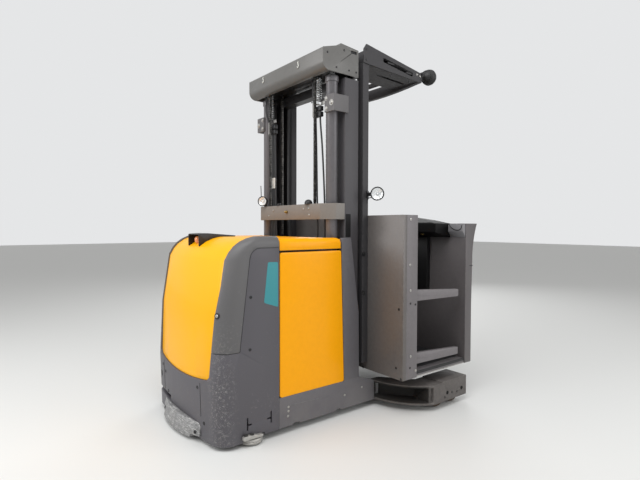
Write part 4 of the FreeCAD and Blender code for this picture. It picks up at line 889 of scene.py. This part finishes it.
hose_rubber = rubbery("hose_rubber", tint(26, 26, 28), 0.45, marks=0.15, crumb=900.0, depth=0.0001)
sleeve_white = moulded("sleeve_white", tint(206, 206, 202), 0.4, blotch=0.05, scuffs=0.1)
hose_plan = [
    # spring x, y and foot; hoses' y at the clamp and at the crossbar
    ("near", -0.060, -0.238, 1.974, [(-0.240, -0.254), (-0.286, -0.327)]),
    ("far", -0.085, 0.292, 1.946, [(0.240, 0.232), (0.258, 0.252), (0.276, 0.272), (0.294, 0.292)]),
]
spring_top = 2.108
spring_turns, turn_steps = 12, 14
grip_x = -0.085
valve_z = 0.452
for hand, x, y, foot, runs in hose_plan:
    spring = bmesh.new()
    helix = []
    for i in range(spring_turns * turn_steps + 1):
        t = 2 * math.pi * i / turn_steps
        helix.append((x + 0.0155 * math.cos(t), y + 0.0155 * math.sin(t),
                      foot + (spring_top - foot) * i / (spring_turns * turn_steps)))
    tube(spring, helix, 0.0032, 8)
    tube(spring, smooth_run([(x, y, foot + 0.006), (x, y + 0.009, foot - 0.008), (x, y + 0.010, foot - 0.020),
                             (x, y, foot - 0.032)]), 0.003)
    turned(spring, (x, y, spring_top - 0.004), up, [(0, 0.016), (0.004, 0.016), (0.006, 0.010), (0.006, 0)], 20)
    fitted("tension_spring_" + hand, "inner_mast", chrome_plate, spring)
    wires = bmesh.new()
    for ahead, wide in ((-0.024, 0.030), (-0.020, 0.040), (-0.028, 0.022)):
        tube(wires, smooth_run([
            (x + ahead, y + wide, spring_top), (x + ahead, y + wide, foot + 0.05),
            (grip_x + 0.002, y + wide * 0.5, foot - 0.050), (grip_x, y + wide * 0.3, foot - 0.080)]), 0.0042)
    fitted("lead_wires_" + hand, "inner_mast", hose_rubber, wires)
    bracket = bmesh.new()
    block(bracket, (grip_x - 0.016, y - 0.015, foot - 0.112), (grip_x - 0.013, y + 0.015, foot - 0.028))
    block(bracket, (grip_x - 0.016, y - 0.015, foot - 0.034), (x + 0.012, y + 0.015, foot - 0.031))
    block(bracket, (x + 0.009, y - 0.048, foot - 0.034), (x + 0.012, y - 0.010, foot - 0.010))
    fitted("spring_bracket_" + hand, "inner_mast", zinc, bracket, 0.0008)
    grip = bmesh.new()
    pins = bmesh.new()
    ys = [at for at, _ in runs]
    for z in (foot - 0.082, foot - 0.118):
        block(grip, (grip_x - 0.013, min(ys) - 0.016, z), (grip_x + 0.013, max(ys) + 0.016, z + 0.030))
        bolt(pins, (grip_x - 0.016, y, z + 0.015), backward, 0.006)
    fitted("hose_clamp_" + hand, "inner_mast", black_plastic, grip, 0.003)
    fitted("hose_clamp_bolts_" + hand, "inner_mast", zinc, pins)
    hoses = bmesh.new()
    for y_top, y_low in runs:
        tube(hoses, smooth_run([
            (grip_x, y_top, foot - 0.090), (grip_x, y_top, foot - 0.150),
            (grip_x, (y_top + y_low) / 2, (foot + 1.33) / 2), (grip_x, y_low, 1.38), (grip_x + 0.004, y_low, 1.20),
            (grip_x + 0.010, y_low * 0.97, 0.95), (grip_x + 0.012, y_low * 0.94, 0.70),
            (grip_x + 0.012, y_low * 0.94, valve_z)]), 0.0058)
    piece = fitted("mast_hoses_" + hand, None, hose_rubber, hoses)
    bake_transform(piece)
    ys = [at * 0.94 for _, at in runs]
    valve = bmesh.new()
    block(valve, (grip_x - 0.016, min(ys) - 0.026, 0.300), (grip_x + 0.044, max(ys) + 0.026, valve_z))
    fitted("valve_block_" + hand, "chassis", bracket_coat, valve, 0.002)
    nuts = bmesh.new()
    for at in ys:
        turned(nuts, (grip_x + 0.012, at, valve_z - 0.001), up, [
            (0, 0.009), (0.022, 0.009), (0.026, 0.0066), (0.036, 0.0066)], 6)
    for z in (0.330, 0.420):
        socket_screw(nuts, (grip_x - 0.016, sum(ys) / len(ys), z), backward, 0.007)
    fitted("hose_nuts_" + hand, "chassis", zinc, nuts)
sleeves = bmesh.new()
for at in (0.238, 0.256, 0.273, 0.290):
    turned(sleeves, (grip_x, at, 1.440), up, [(0, 0.0066), (0.002, 0.0086), (0.074, 0.0086), (0.076, 0.0066)], 16)
piece = fitted("hose_sleeves", None, sleeve_white, sleeves)
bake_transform(piece)

# Cab
# A welded cab of bent sheet: floor, rear wall, side posts and a flared front wall. It is bolted to the mast carriage
# and runs on rollers in the inner mast.

wall_coat = coated("wall_coat", tint(103, 99, 97), 0.38, metal=0.2, blotch=0.12, scuffs=0.3, edges=0.4)
cab_coat = coated("cab_coat", tint(112, 108, 110), 0.45, edges=0.4)
front_coat = coated("front_coat", tint(94, 90, 91), 0.42, edges=0.45)
black_edge = rubbery("black_edge", tint(22, 22, 23), 0.55, marks=0.3)
dress("cab_rear_wall", wall_coat, 0.0015)
dress("cab_posts cab_floor slide_plates slide_back fork_carriage", cab_coat, 0.0015)
dress("cab_front_wall", front_coat, 0.0015)

wall_x, post_y, floor_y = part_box("cab_rear_wall")[0][0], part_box("cab_posts")[1][1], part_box("cab_floor")[1][1]
bright, dull = bmesh.new(), bmesh.new()
on_sides(bright, socket_screw, [(0.252, 0.937), (0.258, 0.782), (0.263, 0.380), (0.311, 0.285), (0.256, 1.212)],
         post_y, 0.0085)
on_sides(dull, socket_screw, [(0.259, 0.703), (0.305, 0.693), (0.260, 0.310)], post_y, 0.0065)
on_sides(dull, bolt, [(0.155, 0.992), (0.157, 0.741)], 0.430, 0.009)
for side in (-1, 1):
    for y, z in ((0.701, 0.669), (0.681, 0.309), (0.720, 0.249), (0.390, 0.245)):
        turned(dull, (wall_x, side * y, z), backward, [
            (-0.002, 0.008), (0.001, 0.008), (0.002, 0.006), (0.002, 0.0)], 16)
    for z in (0.310, 0.450, 0.570):
        bolt(bright, (0.187, side * 0.270, z), backward, 0.011)
fitted("post_screws", "cab", zinc, bright)
fitted("wall_screws", "cab", black_steel, dull)
sill_trims_and_slot_shade, strips = bmesh.new(), bmesh.new()
side_blocks(sill_trims_and_slot_shade, (0.326, floor_y - 0.004, 0.259), (0.812, floor_y + 0.003, 0.276))
# painted shade: a thin black block on each front wall stands for the dark inside of a slot
side_blocks(sill_trims_and_slot_shade, (0.859, 0.732, 0.899), (0.897, 0.7346, 0.905))
side_blocks(strips, (0.326, floor_y - 0.004, 0.2415), (0.812, floor_y + 0.003, 0.2475))
fitted("sill_rubber_and_slot_shade", "cab", black_edge, sill_trims_and_slot_shade, 0.001)
fitted("sill_strip", "cab", zinc, strips, 0.001)

# Floor mat and foot switch
# Moulded rubber mat with raised ribs; the foot switch is a hinged plate under its own ribbed pad.

mat_rubber = rubbery("mat_rubber", tint(36, 36, 37), 0.6)
dress("floor_mat", mat_rubber)
low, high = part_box("floor_mat")
mat_z = high[2]
ribs = bmesh.new()
rows = 34
for i in range(rows):
    x = low[0] + 0.018 + (high[0] - low[0] - 0.036) * i / (rows - 1)
    block(ribs, (x - 0.0032, low[1] + 0.02, mat_z - 0.001), (x + 0.0032, high[1] - 0.02, mat_z + 0.0012))
fitted("mat_ribs", "cab", mat_rubber, ribs, 0.0006)
pedal = bmesh.new()
tip = Matrix.Rotation(math.radians(5), 3, "Y")
about = (0.63, 0.0, mat_z)
block(pedal, (0.50, -0.085, mat_z + 0.002), (0.63, 0.085, mat_z + 0.012), tip, about)
for i in range(7):
    x = 0.511 + 0.018 * i
    block(pedal, (x - 0.003, -0.075, mat_z + 0.011), (x + 0.003, 0.075, mat_z + 0.0145), tip, about)
fitted("foot_switch", "cab", mat_rubber, pedal, 0.0015)
hinge = bmesh.new()
tube(hinge, [(0.632, -0.090, mat_z + 0.007), (0.632, 0.090, mat_z + 0.007)], 0.005, 14)
side_blocks(hinge, (0.620, 0.088, mat_z - 0.001), (0.645, 0.100, mat_z + 0.014))
fitted("foot_switch_hinge", "cab", zinc, hinge, 0.001)

# Console
# Black moulded desk across the front wall with a grey tray at each end, over a black column cover. The controls on it
# are the usual ones of such a truck: steering knob, lift lever, key switch, stop button and a display.

inner_black = moulded("inner_black", tint(9, 8, 9), 0.55, scuffs=0.1, shine=0.15)
column_black = moulded("column_black", tint(12, 12, 14), 0.55, scuffs=0.1)
tray_grey = moulded("tray_grey", tint(122, 121, 124), 0.45, scuffs=0.2)
screen_glass = moulded("screen_glass", tint(22, 28, 32), 0.12, grain=(300.0, 0.00001), scuffs=0.05)
stop_red = moulded("stop_red", tint(186, 30, 28), 0.35, scuffs=0.05)
dress("cab_console", inner_black, 0.003)
dress("cab_column", column_black, 0.003)
dress("console_trays", tray_grey, 0.002)


def on_desk(x, y):
    return on_face("cab_console", (x, y, 1.6), (0, 0, -1))


spot, facing = on_desk(0.722, 0.300)
knob = bmesh.new()
turned(knob, spot, facing, [(-0.004, 0.046), (0.004, 0.046), (0.007, 0.040), (0.012, 0.030), (0.012, 0.0)], 36)
turned(knob, spot, facing, [(0.010, 0.026), (0.020, 0.024), (0.022, 0.058), (0.026, 0.063), (0.034, 0.063),
                            (0.038, 0.056), (0.038, 0.020), (0.035, 0.0)], 40)
turned(knob, spot + facing.cross(Vector((0, 1, 0))) * 0.042 + facing * 0.034, facing, [
    (0.0, 0.010), (0.006, 0.009), (0.014, 0.014), (0.026, 0.018), (0.034, 0.014), (0.037, 0.0)], 24)
fitted("steering_knob", "cab", black_plastic, knob)

spot, facing = on_desk(0.722, -0.300)
lever = bmesh.new()
boot = [(-0.004, 0.032), (0.002, 0.032)]
for i in range(4):
    boot += [(0.004 + 0.0036 * i, 0.028 - 0.005 * i), (0.0060 + 0.0036 * i, 0.024 - 0.005 * i)]
turned(lever, spot, facing, boot + [(0.019, 0.006), (0.019, 0.0)], 28)
turned(lever, spot, facing, [
    (0.018, 0.006), (0.019, 0.013), (0.024, 0.017), (0.030, 0.014), (0.032, 0.006), (0.033, 0.0)], 24)
fitted("lift_lever", "cab", black_plastic, lever)

spot, facing = on_desk(0.722, 0.0)
desk_turn = Vector(up).rotation_difference(facing).to_matrix()


def desk_block(shape, low, high):
    block(shape, spot + Vector(low), spot + Vector(high), desk_turn, spot)


display, glass, keys = bmesh.new(), bmesh.new(), bmesh.new()
desk_block(display, (-0.045, -0.085, -0.004), (0.045, 0.085, 0.008))
desk_block(glass, (-0.032, -0.068, 0.006), (0.032, 0.050, 0.0088))
for x in [-0.028 + 0.016 * i for i in range(4)]:
    desk_block(keys, (x, 0.057, 0.006), (x + 0.011, 0.075, 0.0105))
for y in (-0.150, -0.165, 0.135, 0.150, 0.165):
    turned(keys, *on_desk(0.705, y), [(-0.002, 0.0055), (0.003, 0.0055), (0.004, 0.004), (0.004, 0.0)], 20)
fitted("display_frame", "cab", black_plastic, display, 0.003)
fitted("display_glass", "cab", screen_glass, glass, 0.0008)
fitted("display_keys", "cab", tray_grey, keys, 0.0008)

stop_at = on_desk(0.735, -0.130)
turned_piece("stop_base", "cab", cap_yellow, *stop_at, [
    (-0.003, 0.026), (0.004, 0.026), (0.006, 0.023), (0.006, 0.013), (0.016, 0.013), (0.016, 0)])
turned_piece("stop_head", "cab", stop_red, *stop_at, [
    (0.013, 0.013), (0.015, 0.019), (0.019, 0.021), (0.025, 0.020), (0.030, 0.014), (0.032, 0.0)])
spot, facing = on_desk(0.735, 0.125)
key_switch = bmesh.new()
turned(key_switch, spot, facing, [(-0.003, 0.014), (0.004, 0.014), (0.007, 0.011), (0.007, 0.0)], 28)
desk_block(key_switch, (-0.0012, -0.007, 0.004), (0.0012, 0.007, 0.026))
turned(key_switch, spot + facing * 0.031, up, [(-0.0012, 0.010), (0.0012, 0.010)], 20)
fitted("key_switch", "cab", chrome_plate, key_switch)
turned_piece("console_latch", "cab", brass, *on_face("cab_console", (0.3, -0.448, 1.116), (1, 0, 0)), [
    (-0.002, 0.012), (0.004, 0.012), (0.007, 0.009), (0.009, 0.0)], sides=24)
hollows = bmesh.new()
for side in (-1, 1):
    line = [(0.622, 1.178), (0.640, 1.160), (0.665, 1.147), (0.695, 1.144), (0.716, 1.158), (0.722, 1.178)]
    tube(hollows, smooth_run([(0.7855, side * y, z) for y, z in line], 6), 0.003, 8)
fitted("tray_edging", "cab", black_edge, hollows)

# Back pad
# Leaning pad behind the driver: foam under black sewn vinyl on a board screwed to the rear wall, with piping round
# its edge and two sewn channels.

pad_vinyl = rubbery("pad_vinyl", tint(30, 30, 32), 0.42, marks=0.12, crumb=520.0, depth=0.00012)
low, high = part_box("back_pad")
half_w, half_h, middle_z = (high[1] - low[1]) / 2, (high[2] - low[2]) / 2, (low[2] + high[2]) / 2
board = bmesh.new()
block(board, (low[0], low[1] + 0.012, low[2] + 0.012), (low[0] + 0.010, high[1] - 0.012, high[2] - 0.012))
fitted("pad_board", "cab", black_plastic, board, 0.002, "back_pad")

edge = 0.006
corners = [(low[1] + edge, low[2] + edge), (high[1] - edge, low[2] + edge), (high[1] - edge, high[2] - edge),
           (low[1] + edge, high[2] - edge)]
outline = rounded([(low[0] + 0.008, y, z) for y, z in corners], 0.045, 8)
foam = bmesh.new()
plate(foam, outline, 0.030)
cushion = fitted("back_cushion", None, pad_vinyl, foam)
cushion.modifiers.clear()
pad_grid = cushion.modifiers.new("grid", "REMESH")
pad_grid.mode = "VOXEL"
pad_grid.voxel_size = 0.006


def settle(piece):
    # the piece's shape as its modifiers leave it, written into its own mesh
    made = bpy.data.meshes.new_from_object(piece.evaluated_get(bpy.context.evaluated_depsgraph_get()))
    piece.modifiers.clear()
    piece.data = made


settle(cushion)
back_x = low[0] + 0.012
start_shape = [v.co.copy() for v in cushion.data.vertices]
held = cushion.vertex_groups.new(name="held")
held.add([v.index for v in cushion.data.vertices if v.co.x < back_x], 1.0, "REPLACE")
cloth = cushion.modifiers.new("swell", "CLOTH").settings
cloth.quality = 6
cloth.vertex_group_mass = "held"
cloth.use_pressure = True
cloth.uniform_pressure_force = 4.0
cloth.tension_stiffness = 18.0
cloth.compression_stiffness = 18.0
cloth.effector_weights.gravity = 0.0
for moment in range(1, 21):
    bpy.context.scene.frame_set(moment)
settle(cushion)
bpy.context.scene.frame_set(1)
swell_cap = 0.012
channels = [low[2] + (high[2] - low[2]) * share for share in (0.36, 0.68)]
for vert, before in zip(cushion.data.vertices, start_shape):
    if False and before.x > back_x:
        bulge = max(0.0, 1 - (before.y / half_w) ** 2) * max(0.0, 1 - ((before.z - middle_z) / half_h) ** 2)
        vert.co.x += 0.009 * bulge ** 0.6
    moved = vert.co - before
    if moved.length > swell_cap:
        vert.co = before + moved * (swell_cap / moved.length)
    for z in channels:
        near = math.exp(-((vert.co.z - z) / 0.007) ** 2)
        if vert.co.x > back_x + 0.008:
            vert.co.x -= 0.007 * near * max(0.0, 1 - (vert.co.y / (half_w - 0.004)) ** 4)
finer = cushion.modifiers.new("finer", "SUBSURF")
finer.levels = finer.render_levels = 1
settle(cushion)
for face in cushion.data.polygons:
    face.use_smooth = True
cushion.data.materials.clear()
cushion.data.materials.append(pad_vinyl)
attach(cushion, "cab")
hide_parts("back_pad")

rim = [Vector((low[0] + 0.024, p.y * 1.004, middle_z + (p.z - middle_z) * 1.006)) for p in outline]
piping = bmesh.new()
tube(piping, rim + [rim[0]], 0.0032, 8)
fitted("pad_piping", "cab", black_edge, piping, stands_for="back_pad")

# Cab lamp
# A round work lamp on an arm from the guard post; it looks back along the truck.

y, z = -0.520, 1.374
work_lamp("cab_lamp", "cab", (0.178, y - 0.006, z), 0.044, 0.046)
arm = bmesh.new()
block(arm, (0.186, y + 0.030, z - 0.012), (0.192, -0.430, z + 0.012))
bolt(arm, (0.186, -0.442, z), backward, 0.006)
block(arm, (0.176, -0.436, z - 0.022), (0.194, -0.430, z + 0.022))
tube(arm, smooth_run([(0.205, y + 0.030, z - 0.010), (0.206, y + 0.062, z - 0.020), (0.190, -0.436, z - 0.026),
                      (0.184, -0.428, z - 0.060)]), 0.003)
fitted("cab_lamp_arm", "cab", black_steel, arm, 0.0008, "cab_lamp")

# Mast carriage and fork carriage
# Rollers on bolts run in the inner uprights; the fork bars at the load side are bolted to two plates.

nuts = bmesh.new()
for side in (-1, 1):
    for z in (0.178, 0.585):
        bolt(nuts, (0.916, side * 0.290, z), (1, 0, 0), 0.010)
        for y in (0.150, 0.235):
            socket_screw(nuts, (0.940, side * y, z), (1, 0, 0), 0.009)
fitted("carriage_bolts", "cab", zinc, nuts)

# Overhead guard
# Pressed side plates joined by cross members over two posts, in the mast's paint, with a ball lamp at its front.

guard_coat = coated("guard_coat", tint(62, 61, 63), 0.52, scuffs=0.2, edges=0.3, shine=0.25)
lamp_black = rubbery("lamp_black", tint(14, 14, 15), 0.5, marks=0.5, crumb=90.0, depth=0.0008)
dress("guard_posts guard_roof", guard_coat, 0.0015)
bolts, screws = bmesh.new(), bmesh.new()
on_sides(bolts, bolt, [(0.654, 2.229), (0.686, 2.222)], 0.434, 0.0055, 1.4)
on_sides(screws, socket_screw, [(0.166, 2.290), (0.166, 2.225)], 0.434, 0.006)
on_sides(screws, socket_screw, [(0.390, 2.170), (0.575, 2.165)], 0.4335, 0.006)
fitted("guard_bolts", "cab", zinc, bolts)
fitted("guard_screws", "cab", black_steel, screws)
x, y, z = 0.788, -0.430, 2.235
ball = bmesh.new()
turned(ball, (x, y, z), (1, 0, 0), [
    (-0.086, 0.010), (-0.058, 0.012), (-0.052, 0.024), (-0.046, 0.032), (-0.030, 0.044), (-0.012, 0.0525),
    (-0.002, 0.054), (0.000, 0.0555), (0.006, 0.0555), (0.008, 0.053), (0.022, 0.049), (0.036, 0.038), (0.038, 0.034),
    (0.034, 0.030), (0.020, 0.0)], 44)
for i in range(4):
    turned(ball, (x - 0.014 - 0.009 * i, y, z), (1, 0, 0), [
        (-0.0016, 0.0505 - 0.0038 * i), (0.0, 0.0530 - 0.0035 * i), (0.0016, 0.0525 - 0.0035 * i)], 36)
block(ball, (0.701, y - 0.014, z - 0.006), (0.712, y + 0.014, z + 0.018))
fitted("ball_lamp_shell", "cab", lamp_black, ball, stands_for="guard_lamp")
turned_piece("ball_lamp_lens", "cab", mirror_painted_reflection, (x, y, z), (1, 0, 0), [
    (0.026, 0.033), (0.036, 0.033), (0.041, 0.024), (0.043, 0.0)], stands_for="guard_lamp")

# Gates
# Flat bars that swing up on pins in the side posts, each with a rubber stop on the inner face of its free end.

gate_coat = coated("gate_coat", tint(118, 114, 116), 0.45, blotch=0.12, scuffs=0.5, edges=0.5)
for side, hand in ((-1, "right"), (1, "left")):
    for level in ("upper", "lower"):
        name = "gate_" + hand + "_" + level
        dress(name, gate_coat, 0.002)
        low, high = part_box(name)
        inner = high[1] if side < 0 else low[1]
        turned_piece(name + "_stop", name, black_edge, (high[0] - 0.030, inner, low[2] + 0.024), (0, -side, 0), [
            (-0.002, 0.013), (0.008, 0.012), (0.010, 0.010), (0.010, 0.0045), (0.006, 0.004), (0.006, 0.0)], sides=24)
        turned_piece(name + "_pin", name, zinc, (0.270, inner, high[2] - 0.036), (0, -side, 0), [
            (-0.002, 0.019), (0.002, 0.019), (0.004, 0.017), (0.004, 0.011), (0.009, 0.011), (0.010, 0.009),
            (0.010, 0.0)], sides=28)
